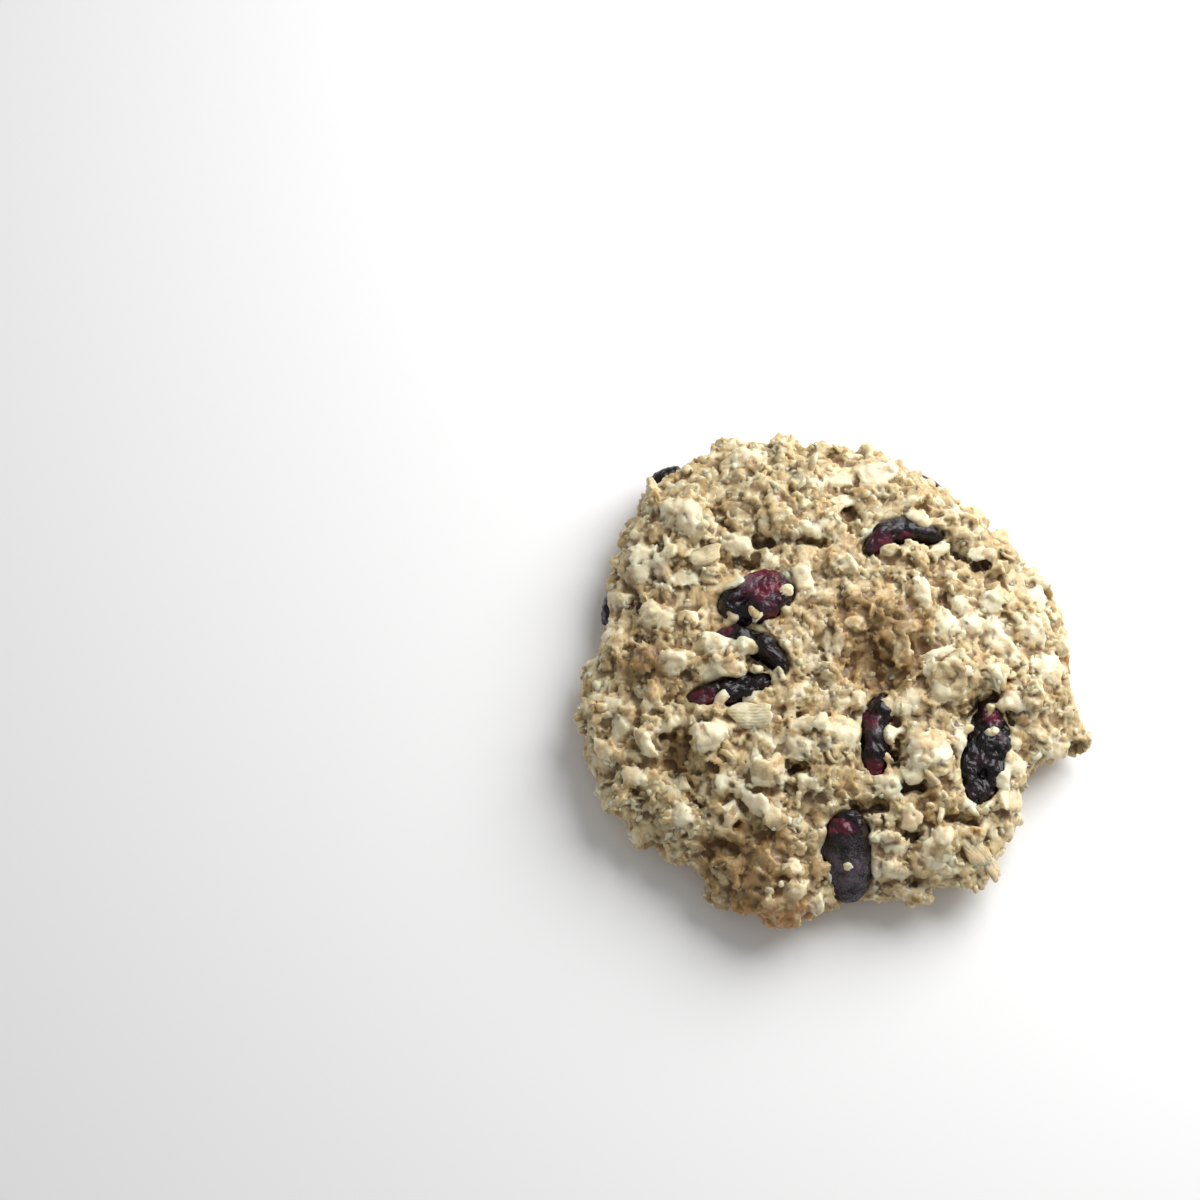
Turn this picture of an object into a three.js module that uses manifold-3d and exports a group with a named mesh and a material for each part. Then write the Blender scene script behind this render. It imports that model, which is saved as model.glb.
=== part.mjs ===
// An oatmeal cranberry cookie, 75 mm across and 16 mm thick, as baked on a flat tray.
//
// Its pieces are the cookie itself, a domed round of dough whose clumps and rolled oat flakes stand
// up from it in one solid, and the dried cranberries, which sit in sockets in the dough.
//
// Lengths are in millimetres and bearings in degrees from +X towards +Y. +Z is up, +Y runs from the
// front of the cookie to its back, and the origin is the middle of the flat base.

import * as THREE from "three";
import { mergeVertices } from "three/addons/utils/BufferGeometryUtils.js";
import Module from "manifold-3d";

const wasm = await Module();
wasm.setup();

// ---------------------------------------------------------------------------------------------
// Driving dimensions
// ---------------------------------------------------------------------------------------------

const HALF_WIDTH = 34.8; // dough at its widest, left to right
const HALF_DEPTH = 36.8; // dough at its widest, front to back
const CROWN = 13.6; // dough thickness at the middle
const GIRTH_HEIGHT = 5.2; // height at which the dough is widest
const BASE_SHARE = 0.9; // radius of the flat base, as a share of the widest radius
const CROWN_SHOULDER = 3.1; // larger values keep the crown flat further out
const CROWN_ROUNDING = 1.75; // 2 rounds the edge as an ellipse does

const DOUGH_FACES_PER_EDGE = 11; // each of the 20 faces of the starting shape is cut this finely
const BASE_WEIGHT = 0.3; // faces on the flat base, for each one on the same area above
const ROUGHNESS = 0.75; // height of the uneven dough between the clumps
const ROUGHNESS_SPAN = 4.6; // width of one rise of that unevenness
const NOISE_SHIFT = 40; // parts the fine unevenness from the coarse

const FLAKE_COUNT = 100; // with the shown flakes
const FLAKE_SEED = 20417;
const FLAKE_SIDES = 7;
const FLAKE_LENGTH = { largest: 8.2, smallest: 4.2 };
const FLAKE_SPACING = { largest: 7.6, smallest: 4.2 }; // from middle to middle
const FLAKE_THICKNESS = 1.8; // a rolled oat and the dough that coats it
const FLAKE_LIFT = 0.05; // of a flake's middle over the dough
const FLAKE_CLEARANCE = 0.7; // from a flake's edge to a cranberry
const SNAPPED_SHARE = 0.4; // of the flakes are snapped across
const LOWEST_FLAKE = 0.66; // share of the way from the crown's middle to the base's middle
const LOWEST_CORNER = 0.6; // no flake reaches nearer the tray than this

const SOCKET_GAP = 0.35; // between a cranberry and the dough around it
const TRAY_GAP = 0.12; // from a pressed cranberry to the plane of the base
const BASE_CRANBERRY_RISE = 0.3; // of a pressed cranberry's middle, as a share of its depth
const CRANBERRY_CUTS = { large: [12, 9], small: [10, 7] }; // faces round and along a berry
const LARGE_WIDTH = 7; // a wider cranberry has the large cuts

// Where the outline bulges or steps in from an ellipse.
const OUTLINE_BUMPS = [
  { at: 44, out: -3.2, spread: 15 },
  { at: 72, out: -2.3, spread: 14 },
  { at: 93, out: -1.7, spread: 8 },
  { at: 108, out: 1.3, spread: 9 },
  { at: 128, out: 3.5, spread: 12 },
  { at: 170, out: -1.6, spread: 9 },
  { at: 190, out: 1.2, spread: 10 },
  { at: 207, out: 3.0, spread: 14 },
  { at: 231, out: -0.8, spread: 6 },
  { at: 255, out: 2.0, spread: 11 },
  { at: 273, out: -3.0, spread: 9 },
  { at: 291, out: -1.4, spread: 9 },
  { at: 306, out: 0.9, spread: 6 },
  { at: 328, out: -3.4, spread: 9 },
  { at: 347, out: 2.3, spread: 8 },
];

// Raised clumps of oats and dough, and the hollows between them where rise is negative.
const CLUMPS = [
  { x: -7.6, y: 24.6, reach: 9, rise: 1.9 },
  { x: -22.1, y: 21.1, reach: 7, rise: 1.4 },
  { x: 9.4, y: 27.6, reach: 7, rise: 1.3 },
  { x: 21.4, y: 17.1, reach: 5.5, rise: 1.5 },
  { x: 26.9, y: 4.6, reach: 6, rise: 0.9 },
  { x: 17.4, y: -3.2, reach: 7, rise: 2.0 },
  { x: 13.4, y: -14.2, reach: 6, rise: 1.9 },
  { x: 28.4, y: -5.4, reach: 5.5, rise: 1.1 },
  { x: 26.9, y: -17.9, reach: 5, rise: 1.4 },
  { x: 13.9, y: -29.4, reach: 7, rise: 1.1 },
  { x: -0.4, y: -12.2, reach: 6, rise: 1.5 },
  { x: -10.1, y: -14.8, reach: 6, rise: 1.6 },
  { x: -18, y: -12.2, reach: 5, rise: 1.6 },
  { x: -15.2, y: 0.6, reach: 5, rise: 1.3 },
  { x: -25.1, y: -0.9, reach: 6.5, rise: 1.2 },
  { x: -21.1, y: -24.4, reach: 5.5, rise: 1.1 },
  { x: -6.7, y: -35, reach: 5, rise: 1.2 },
  { x: 4.6, y: -2.4, reach: 6, rise: -2.3 },
  { x: 21, y: -7.4, reach: 3.6, rise: -2.6 },
  { x: -11.1, y: 15.4, reach: 4.5, rise: -1.5 },
  { x: -22.8, y: -15.6, reach: 4, rise: -2.1 },
  { x: 18.8, y: 14.6, reach: 3.8, rise: -2.4 },
  { x: 2.4, y: 23.6, reach: 3.6, rise: -1.3 },
  { x: -4.1, y: -25.4, reach: 6, rise: -1.3 },
];

// Dried cranberries on the crown. Bearing and bend say where the long side points and how far it
// curls, and proud is how much of the berry stands above the dough.
const CROWN_CRANBERRIES = [
  { name: "back_right", x: 10.8, y: 19.8, bearing: 12, bend: -105, size: [13.6, 4.4, 5], proud: 1.6 },
  { name: "back_left", x: -10.8, y: 8.5, bearing: 14, bend: 18, size: [11, 8.2, 6.6], proud: 2.5 },
  { name: "middle_left", x: -11, y: 1.6, bearing: -28, bend: -80, size: [13, 3.8, 5], proud: 1.7 },
  { name: "front_left", x: -14.4, y: -5.4, bearing: 14, bend: 28, size: [13.6, 4.4, 5], proud: 1.7 },
  { name: "middle", x: 5.7, y: -11.9, bearing: -97, bend: 34, size: [13.2, 5, 5.4], proud: 1.6 },
  { name: "right", x: 21.8, y: -14, bearing: 76, bend: -12, size: [15.6, 8, 6.4], proud: 2.0 },
  { name: "front", x: 1.7, y: -29.3, bearing: 92, bend: 0, size: [13.8, 8.2, 5.4], proud: 1.3 },
  { name: "far_right", x: 22.7, y: 3.9, bearing: 35, bend: 0, size: [6, 3.6, 3.6], proud: 0.5 },
];

// Cranberries that look out of the side, at a bearing and a height.
const SIDE_CRANBERRIES = [
  { name: "left_side", at: 162, height: 4, bearing: 15, size: [6, 4, 4], proud: 0.8 },
  { name: "back_left_side", at: 128, height: 5, bearing: -10, size: [6.4, 3.6, 4], proud: 0.8 },
  { name: "back_side", at: 62, height: 4.4, bearing: 20, size: [8.4, 4.6, 4.6], proud: 1.1 },
];

// Cranberries pressed against the tray, so that they show flat in the base.
const BASE_CRANBERRIES = [
  { name: "base_left", x: -13, y: 9, bearing: 40, bend: 25, size: [12.5, 7, 4] },
  { name: "base_right", x: 16, y: -9, bearing: 115, bend: -20, size: [11, 6.5, 4] },
];

// The flakes that stand out on the crown. The others are spread between them.
const SHOWN_FLAKES = [
  { x: 17.7, y: -3.4, bearing: 75, length: 8.4, width: 7.2 },
  { x: -12.2, y: 30.6, bearing: 10, length: 8.4, width: 6.4 },
  { x: -20.2, y: 23.4, bearing: 60, length: 8.2, width: 6.2 },
  { x: -15.6, y: -0.8, bearing: 4, length: 5.8, width: 2.4 },
  { x: 12.6, y: -14, bearing: 75, length: 6.8, width: 5 },
  { x: -9.6, y: -17.6, bearing: 35, length: 7, width: 5.4 },
  { x: -17.8, y: -12.8, bearing: 20, length: 7, width: 4.8 },
  { x: -12, y: -9.6, bearing: -4, length: 6.8, width: 4.2 },
  { x: 33, y: -3.4, bearing: -55, length: 6.8, width: 5.2 },
  { x: 18.4, y: 9.6, bearing: -50, length: 6.4, width: 3 },
  { x: 27.6, y: -1.2, bearing: -45, length: 5.8, width: 2.8 },
  { x: 29.6, y: -12, bearing: 65, length: 5.8, width: 3.4 },
  { x: -9.7, y: -23.2, bearing: -35, length: 6.4, width: 4.4 },
  { x: 6.4, y: 29.6, bearing: 20, length: 6.2, width: 5 },
  { x: -22.8, y: 15.6, bearing: -15, length: 6.2, width: 3.6 },
  { x: 18.4, y: 13.8, bearing: -20, length: 5.4, width: 3.6 },
  { x: -31.4, y: 2.4, bearing: 80, length: 5.4, width: 4.6 },
  { x: -27.4, y: -0.2, bearing: 60, length: 6, width: 4 },
  { x: -25, y: -5.2, bearing: 15, length: 5, width: 4 },
  { x: 29.6, y: 5.8, bearing: -60, length: 6, width: 2.8 },
  { x: 11.4, y: -1.4, bearing: 65, length: 5.8, width: 4.2 },
  { x: 12.6, y: 10.4, bearing: 98, length: 5.8, width: 3.4 },
  { x: -26, y: -12.4, bearing: -40, length: 5.8, width: 3.8 },
  { x: 15.6, y: -27, bearing: 80, length: 5.2, width: 3.4 },
  { x: 0.8, y: 2.8, bearing: 88, length: 5.2, width: 3.2 },
];

// ---------------------------------------------------------------------------------------------
// Numbers, noise and solids
// ---------------------------------------------------------------------------------------------

const radians = (degrees) => (degrees * Math.PI) / 180;
const mix = (from, to, share) => from + (to - from) * share;

/** Returns a function that draws the same numbers from 0 to 1 on each run. */
function seededDraw(seed) {
  let state = seed >>> 0;
  return () => {
    state = (state + 0x6d2b79f5) >>> 0;
    let mixed = Math.imul(state ^ (state >>> 15), 1 | state);
    mixed = (mixed + Math.imul(mixed ^ (mixed >>> 7), 61 | mixed)) ^ mixed;
    return ((mixed ^ (mixed >>> 14)) >>> 0) / 4294967296;
  };
}

/** A number from 0 to 1 that belongs to one cell of a lattice. */
function cellValue(i, j, k) {
  let mixed = Math.imul(i, 374761393) + Math.imul(j, 668265263) + Math.imul(k, 2147483647);
  mixed = Math.imul(mixed ^ (mixed >>> 13), 1274126177);
  return ((mixed ^ (mixed >>> 16)) >>> 0) / 4294967296;
}

/** Smooth noise from -1 to 1, whose rises are about span wide. */
function noise(point, span) {
  const cell = point.map((value) => Math.floor(value / span));
  const [u, v, w] = point.map((value, axis) => {
    const share = value / span - cell[axis];
    return share * share * (3 - 2 * share);
  });
  const corner = (i, j, k) => cellValue(cell[0] + i, cell[1] + j, cell[2] + k);
  const edge = (j, k) => mix(corner(0, j, k), corner(1, j, k), u);
  const face = (k) => mix(edge(0, k), edge(1, k), v);
  return 2 * mix(face(0), face(1), w) - 1;
}

/** A geometry whose equal vertices are one vertex, and which holds only positions. */
function weld(geometry) {
  geometry.deleteAttribute("normal");
  geometry.deleteAttribute("uv");
  return mergeVertices(geometry, 1e-4);
}

/** Moves each vertex of a geometry to where place(point) puts it. */
function reshape(geometry, place) {
  const positions = geometry.getAttribute("position");
  const point = new THREE.Vector3();
  for (let i = 0; i < positions.count; i++) {
    point.fromBufferAttribute(positions, i);
    positions.setXYZ(i, ...place(point, i).toArray());
  }
  return geometry;
}

function solidFromGeometry(geometry) {
  return new wasm.Manifold(
    new wasm.Mesh({
      numProp: 3,
      vertProperties: new Float32Array(geometry.getAttribute("position").array),
      triVerts: new Uint32Array(geometry.index.array),
    }),
  );
}

function geometryFromSolid(solid) {
  const { vertProperties, triVerts } = solid.getMesh();
  return new THREE.BufferGeometry()
    .setAttribute("position", new THREE.BufferAttribute(vertProperties, 3))
    .setIndex(new THREE.BufferAttribute(triVerts, 1));
}

const UP = new THREE.Vector3(0, 0, 1);

/** Turns +Z to the normal, after a turn of spin about it. */
function layOn(normal, spin) {
  const stand = new THREE.Quaternion().setFromUnitVectors(UP, normal);
  return stand.multiply(new THREE.Quaternion().setFromAxisAngle(UP, spin));
}

/** The largest of a solid's separate bodies, so that no loose scrap is kept. */
function largestBody(solid) {
  return solid.decompose().reduce((a, b) => (b.volume() > a.volume() ? b : a));
}

// ---------------------------------------------------------------------------------------------
// The dough's shape
// ---------------------------------------------------------------------------------------------

/** Radius of the dough at its widest, at a bearing in radians. */
function girth(angle) {
  const ellipse =
    (HALF_WIDTH * HALF_DEPTH) /
    Math.hypot(HALF_DEPTH * Math.cos(angle), HALF_WIDTH * Math.sin(angle));
  return OUTLINE_BUMPS.reduce((radius, { at, out, spread }) => {
    const away = THREE.MathUtils.euclideanModulo((angle * 180) / Math.PI - at + 180, 360) - 180;
    return radius + out * Math.exp(-((away / spread) ** 2));
  }, ellipse);
}

/** Height of the smooth crown at a share of the girth. */
function crownHeight(share) {
  const drop = Math.max(0, 1 - share ** CROWN_SHOULDER);
  return GIRTH_HEIGHT + (CROWN - GIRTH_HEIGHT) * drop ** (1 / CROWN_ROUNDING);
}

/**
 * The dough's half section, from the middle of the crown (0) to the middle of the base (1), as a
 * function of the share of its area that is passed. Each place is { share of girth, height }.
 */
function evenSection() {
  const steps = 240;
  const places = [];
  for (let i = 0; i <= steps; i++) {
    const share = Math.sin((Math.PI / 2) * (i / steps));
    places.push({ share, height: crownHeight(share), weight: 1 });
  }
  for (let i = 1; i <= steps; i++) {
    const turn = (Math.PI / 2) * (i / steps);
    const share = 1 - (1 - BASE_SHARE) * (1 - Math.cos(turn));
    places.push({ share, height: GIRTH_HEIGHT * (1 - Math.sin(turn)), weight: 1 });
  }
  for (let i = 1; i <= steps; i++)
    places.push({ share: BASE_SHARE * (1 - i / steps), height: 0, weight: BASE_WEIGHT });
  let area = 0;
  const passed = places.map((place, i) => {
    const before = places[Math.max(0, i - 1)];
    const across = (place.share - before.share) * HALF_WIDTH;
    const along = Math.hypot(across, place.height - before.height);
    area += place.weight * along * (place.share + before.share);
    return area;
  });
  return (wanted) => {
    const target = wanted * area;
    const next = Math.max(1, passed.findIndex((value) => value >= target));
    const part = (target - passed[next - 1]) / (passed[next] - passed[next - 1] || 1);
    const [a, b] = [places[next - 1], places[next]];
    return { share: mix(a.share, b.share, part), height: mix(a.height, b.height, part) };
  };
}

const section = evenSection();

/** How far the clumps and hollows lift the dough at x, y. */
function clumpRise(x, y) {
  return CLUMPS.reduce((total, { x: cx, y: cy, reach, rise }) => {
    const away = Math.hypot(x - cx, y - cy) / reach;
    return total + (away < 1 ? rise * (1 - away ** 2) ** 1.5 : 0);
  }, 0);
}

/** How far the clumps and the unevenness lift the dough at a point of its smooth form. */
function liftAt(point) {
  const fade = THREE.MathUtils.smoothstep(point.z, 0, GIRTH_HEIGHT);
  const crown = THREE.MathUtils.smoothstep(point.z, GIRTH_HEIGHT, GIRTH_HEIGHT + 3);
  const coarse = noise(point.toArray(), ROUGHNESS_SPAN);
  const fine = noise(point.clone().addScalar(NOISE_SHIFT).toArray(), ROUGHNESS_SPAN / 2);
  return fade * ROUGHNESS * (coarse + 0.5 * fine) + crown * clumpRise(point.x, point.y);
}

/** Height of the crown with its clumps. */
function heightAt(x, y) {
  const height = crownHeight(Math.hypot(x, y) / girth(Math.atan2(y, x)));
  return height + liftAt(new THREE.Vector3(x, y, height));
}

/** A point on the crown, its normal, and the turn that lays +X along a bearing there. */
function crownPlace(x, y, bearing, reach) {
  const slope = (turn) => {
    const [dx, dy] = [reach * Math.cos(turn), reach * Math.sin(turn)];
    return new THREE.Vector3(2 * dx, 2 * dy, heightAt(x + dx, y + dy) - heightAt(x - dx, y - dy));
  };
  const along = slope(radians(bearing)).normalize();
  const normal = along.clone().cross(slope(radians(bearing + 90))).normalize();
  const turn = new THREE.Quaternion().setFromRotationMatrix(
    new THREE.Matrix4().makeBasis(along, normal.clone().cross(along), normal),
  );
  return { point: new THREE.Vector3(x, y, heightAt(x, y)), normal, turn };
}

/** The smooth dough at a direction from the middle: a point and its outward normal. */
function smoothDough(direction) {
  const angle = Math.atan2(direction.y, direction.x);
  const passed = (1 - THREE.MathUtils.clamp(direction.z, -1, 1)) / 2;
  const here = section(passed);
  const [before, after] = [section(Math.max(0, passed - 0.01)), section(Math.min(1, passed + 0.01))];
  const radius = girth(angle);
  const across = (after.share - before.share) * radius;
  const down = before.height - after.height;
  const outward = new THREE.Vector3(Math.cos(angle), Math.sin(angle), 0);
  return {
    point: outward.clone().multiplyScalar(here.share * radius).setZ(here.height),
    normal: outward.multiplyScalar(down).setZ(across).normalize(),
  };
}

/** The dough with its clumps and unevenness, at a direction from the middle. */
function doughSurface(direction) {
  const { point, normal } = smoothDough(direction);
  if (point.z <= 0) return { point: point.setZ(0), normal: new THREE.Vector3(0, 0, -1) };
  return { point: point.addScaledVector(normal, liftAt(point)), normal };
}

function doughSolid() {
  const geometry = new THREE.IcosahedronGeometry(1, DOUGH_FACES_PER_EDGE - 1);
  reshape(geometry, (point) => doughSurface(point.clone().normalize()).point);
  return solidFromGeometry(weld(geometry));
}

// ---------------------------------------------------------------------------------------------
// Cranberries
// ---------------------------------------------------------------------------------------------

/** A dried cranberry along +X: a long body with lengthwise folds, curled sideways by bend. */
function cranberryGeometry({ size: [length, width, depth], bend = 0, name }) {
  const [around, along] = width > LARGE_WIDTH ? CRANBERRY_CUTS.large : CRANBERRY_CUTS.small;
  const berry = weld(new THREE.SphereGeometry(1, around, along).rotateZ(Math.PI / 2));
  const phase = name.length;
  const curve = radians(bend) / length;
  return reshape(berry, (point) => {
    const turn = Math.atan2(point.z, point.y);
    const fold = 1 - 0.1 * (1 + Math.sin(3 * turn + phase + 2.2 * point.x));
    const wrinkle = 1 + 0.09 * noise([4 * point.x + phase, 4 * point.y, 4 * point.z], 1.7);
    const ahead = (point.x * length) / 2;
    const across = (point.y * width * fold * wrinkle) / 2;
    const bent = curve * ahead;
    const radius = Math.abs(curve) > 1e-4 ? 1 / curve : 0;
    return point.set(
      radius ? (radius - across) * Math.sin(bent) : ahead,
      radius ? radius - (radius - across) * Math.cos(bent) : across,
      (point.z * depth * fold * wrinkle) / 2,
    );
  });
}

/** The same geometry, grown by a distance all round. */
function grown(geometry, distance) {
  const larger = geometry.clone();
  larger.computeVertexNormals();
  const normals = larger.getAttribute("normal");
  const normal = new THREE.Vector3();
  reshape(larger, (point, i) =>
    point.addScaledVector(normal.fromBufferAttribute(normals, i), distance));
  larger.deleteAttribute("normal");
  return larger;
}

/** Where a cranberry on the crown lies: its middle and the turn that lays it on the dough. */
function onCrown({ x, y, bearing, size, proud }) {
  const { point, normal, turn } = crownPlace(x, y, bearing, size[0] / 3);
  return { turn, middle: point.addScaledVector(normal, proud - size[2] / 2) };
}

/** Where a cranberry in the side lies, with its long side round the rim. */
function inSide({ at, height, bearing, size, proud }) {
  const outward = new THREE.Vector3(Math.cos(radians(at)), Math.sin(radians(at)), 0);
  const middle = outward.clone().multiplyScalar(girth(radians(at)) + proud - size[2] / 2);
  const around = new THREE.Matrix4().makeBasis(UP.clone().cross(outward), UP, outward);
  const turn = new THREE.Quaternion()
    .setFromRotationMatrix(around)
    .multiply(layOn(UP, radians(bearing)));
  return { turn, middle: middle.setZ(height) };
}

/** Where a cranberry in the base lies: its lower part is pressed away by the tray. */
function inBase({ x, y, bearing, size }) {
  const middle = new THREE.Vector3(x, y, BASE_CRANBERRY_RISE * size[2]);
  return { turn: layOn(UP, radians(bearing)), middle };
}

/** Presses a cranberry flat where it would reach below the tray's surface. */
function pressFlat(geometry) {
  return reshape(geometry, (point) => point.setZ(Math.max(point.z, TRAY_GAP)));
}

/** Every cranberry, with the larger form that its socket in the dough is cut to. */
function cranberries() {
  const placed = [
    ...CROWN_CRANBERRIES.map((berry) => ({ berry, ...onCrown(berry) })),
    ...SIDE_CRANBERRIES.map((berry) => ({ berry, ...inSide(berry) })),
    ...BASE_CRANBERRIES.map((berry) => ({ berry, ...inBase(berry) })),
  ];
  return placed.map(({ berry, turn, middle }) => {
    const lying = (geometry) => geometry.applyQuaternion(turn).translate(...middle.toArray());
    const plain = cranberryGeometry(berry);
    const socket = lying(grown(plain, SOCKET_GAP));
    return { name: berry.name, geometry: pressFlat(lying(plain)), socket };
  });
}

// ---------------------------------------------------------------------------------------------
// Oat flakes
// ---------------------------------------------------------------------------------------------

/** A direction drawn evenly over the sphere, above the lowest flake. */
function drawDirection(draw) {
  const z = 1 - 2 * LOWEST_FLAKE * draw();
  const angle = 2 * Math.PI * draw();
  const flat = Math.sqrt(1 - z * z);
  return new THREE.Vector3(flat * Math.cos(angle), flat * Math.sin(angle), z);
}

/** An uneven oval plate, lying flat along +X, curled along its length and perhaps snapped across. */
function flakeGeometry(length, width, draw) {
  const broken = draw() < SNAPPED_SHARE ? mix(0.1, 0.6, draw()) : 1;
  const curl = mix(-0.5, 0.8, draw());
  const edge = Array.from({ length: FLAKE_SIDES }, () => mix(0.84, 1.12, draw()));
  const plate = new THREE.CylinderGeometry(0.78, 1, FLAKE_THICKNESS, FLAKE_SIDES, 1);
  plate.rotateX(Math.PI / 2);
  return reshape(plate, (point) => {
    const side = Math.round((Math.atan2(point.y, point.x) / (2 * Math.PI)) * FLAKE_SIDES);
    const uneven = edge[(side + FLAKE_SIDES) % FLAKE_SIDES];
    const along = Math.min(point.x * uneven, broken);
    return point.set(
      (along * length) / 2,
      (point.y * uneven * width) / 2,
      point.z + curl * along * along,
    );
  });
}

/** Whether any corner of a cranberry lies under a flake, or too near its edge. */
function crosses({ middle, turn, length, width }, berry) {
  const back = turn.clone().invert();
  const corners = berry.getAttribute("position");
  const corner = new THREE.Vector3();
  for (let i = 0; i < corners.count; i++) {
    corner.fromBufferAttribute(corners, i).sub(middle).applyQuaternion(back);
    const along = corner.x / (length / 2 + FLAKE_CLEARANCE);
    const across = corner.y / (width / 2 + FLAKE_CLEARANCE);
    if (Math.hypot(along, across) < 1 && Math.abs(corner.z) < 2 * FLAKE_THICKNESS) return true;
  }
  return false;
}

/** A flake of this size in its place on the dough. */
function layFlake(point, normal, turn, length, width, draw) {
  const middle = point.clone().addScaledVector(normal, FLAKE_LIFT);
  const geometry = flakeGeometry(length, width, draw)
    .applyQuaternion(turn)
    .translate(...middle.toArray());
  return { middle, turn, length, width, geometry };
}

/** Flakes from the largest to the smallest, each as far from the others as its size asks. */
function placeFlakes(berries) {
  const draw = seededDraw(FLAKE_SEED);
  const flakes = SHOWN_FLAKES.map(({ x, y, bearing, length, width }) => {
    const { point, normal, turn } = crownPlace(x, y, bearing, length / 3);
    return layFlake(point, normal, turn, length, width, draw);
  });
  const shown = flakes.length;
  for (let tries = 0; flakes.length < FLAKE_COUNT && tries < 60 * FLAKE_COUNT; tries++) {
    const rank = (flakes.length - shown) / (FLAKE_COUNT - shown);
    const { point, normal } = doughSurface(drawDirection(draw));
    const length = mix(FLAKE_LENGTH.largest, FLAKE_LENGTH.smallest, rank) * mix(0.88, 1.12, draw());
    const lean = 2 * Math.PI * draw();
    const tiltAxis = new THREE.Vector3(Math.cos(lean), Math.sin(lean), 0);
    const turn = layOn(normal, 0)
      .multiply(new THREE.Quaternion().setFromAxisAngle(tiltAxis, radians(mix(4, 30, draw() ** 1.5))))
      .multiply(layOn(UP, 2 * Math.PI * draw()));
    const flake = layFlake(point, normal, turn, length, length * mix(0.6, 0.86, draw()), draw);
    const spacing = mix(FLAKE_SPACING.largest, FLAKE_SPACING.smallest, rank);
    flake.geometry.computeBoundingBox();
    if (flake.geometry.boundingBox.min.z < LOWEST_CORNER) continue;
    if (flakes.some(({ middle }) => middle.distanceTo(flake.middle) < spacing)) continue;
    if (berries.some(({ geometry }) => crosses(flake, geometry))) continue;
    flakes.push(flake);
  }
  return flakes;
}

// ---------------------------------------------------------------------------------------------
// The whole cookie
// ---------------------------------------------------------------------------------------------

const bakedOats = new THREE.MeshStandardMaterial({ color: 0xcdb183, roughness: 0.75, metalness: 0 });
const driedFruit = new THREE.MeshStandardMaterial({ color: 0x3a1016, roughness: 0.28, metalness: 0 });

function namedMesh(name, geometry, material) {
  const mesh = new THREE.Mesh(geometry, material);
  mesh.name = name;
  return mesh;
}

const berries = cranberries();
const flakes = placeFlakes(berries).map(({ geometry }) => solidFromGeometry(weld(geometry)));
const cookie = berries.reduce(
  (solid, { socket }) => solid.subtract(solidFromGeometry(socket)),
  wasm.Manifold.union([doughSolid(), ...flakes]),
);

const oatmealCranberryCookie = new THREE.Group();
oatmealCranberryCookie.add(
  namedMesh("cookie", geometryFromSolid(largestBody(cookie)), bakedOats),
  ...berries.map(({ name, geometry }) => namedMesh("cranberry_" + name, geometry, driedFruit)),
);

// The origin goes to the middle of the base.
const middle = new THREE.Box3().setFromObject(oatmealCranberryCookie).getCenter(new THREE.Vector3());
for (const piece of oatmealCranberryCookie.children) piece.position.set(-middle.x, -middle.y, 0);

export default oatmealCranberryCookie;
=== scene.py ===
"""The looks of an oatmeal cranberry cookie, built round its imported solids.

The dough is one closed piece with the oats and lumps that it coats. Clean oat flakes, chips and
crumbs lie on it, and each dried cranberry is a wrinkled piece of its own. Places are millimetres
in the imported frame: +Z up, +Y from the front of the cookie to its back, the origin in the middle
of the base.
"""

import logging
import math
from dataclasses import dataclass, field
from enum import Enum
from random import Random
from typing import Any, ClassVar, Iterable, Sequence

import bmesh
import bpy
import numpy as np
from mathutils import Matrix, Vector
from mathutils.bvhtree import BVHTree
from mathutils.noise import noise


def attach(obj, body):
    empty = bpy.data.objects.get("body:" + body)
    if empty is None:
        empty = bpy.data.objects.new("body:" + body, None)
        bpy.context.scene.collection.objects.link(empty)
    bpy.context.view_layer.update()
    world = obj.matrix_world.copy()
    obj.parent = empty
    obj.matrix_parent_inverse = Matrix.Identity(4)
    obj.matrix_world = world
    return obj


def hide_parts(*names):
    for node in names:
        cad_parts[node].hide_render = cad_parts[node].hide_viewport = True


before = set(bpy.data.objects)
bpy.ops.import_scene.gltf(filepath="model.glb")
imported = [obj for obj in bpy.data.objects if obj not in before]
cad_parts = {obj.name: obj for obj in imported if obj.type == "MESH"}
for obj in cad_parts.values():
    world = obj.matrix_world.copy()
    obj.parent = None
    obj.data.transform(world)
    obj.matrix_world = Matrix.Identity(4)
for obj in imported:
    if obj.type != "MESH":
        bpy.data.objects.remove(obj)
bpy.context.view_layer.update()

MM = 0.001
BODY = "root"

Colour = tuple[float, float, float, float]

log = logging.getLogger("cookie")


def colour(red: int, green: int, blue: int) -> Colour:
    """A colour of 0 to 255 a channel, as the shaders take it.

    Args:
        red: red as a screen shows it.
        green: green as a screen shows it.
        blue: blue as a screen shows it.

    Returns:
        The same colour in linear light, with full alpha.
    """
    shares = [channel / 255 for channel in (red, green, blue)]
    light = [s / 12.92 if s <= 0.04045 else ((s + 0.055) / 1.055) ** 2.4 for s in shares]
    return (*light, 1.0)


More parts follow.
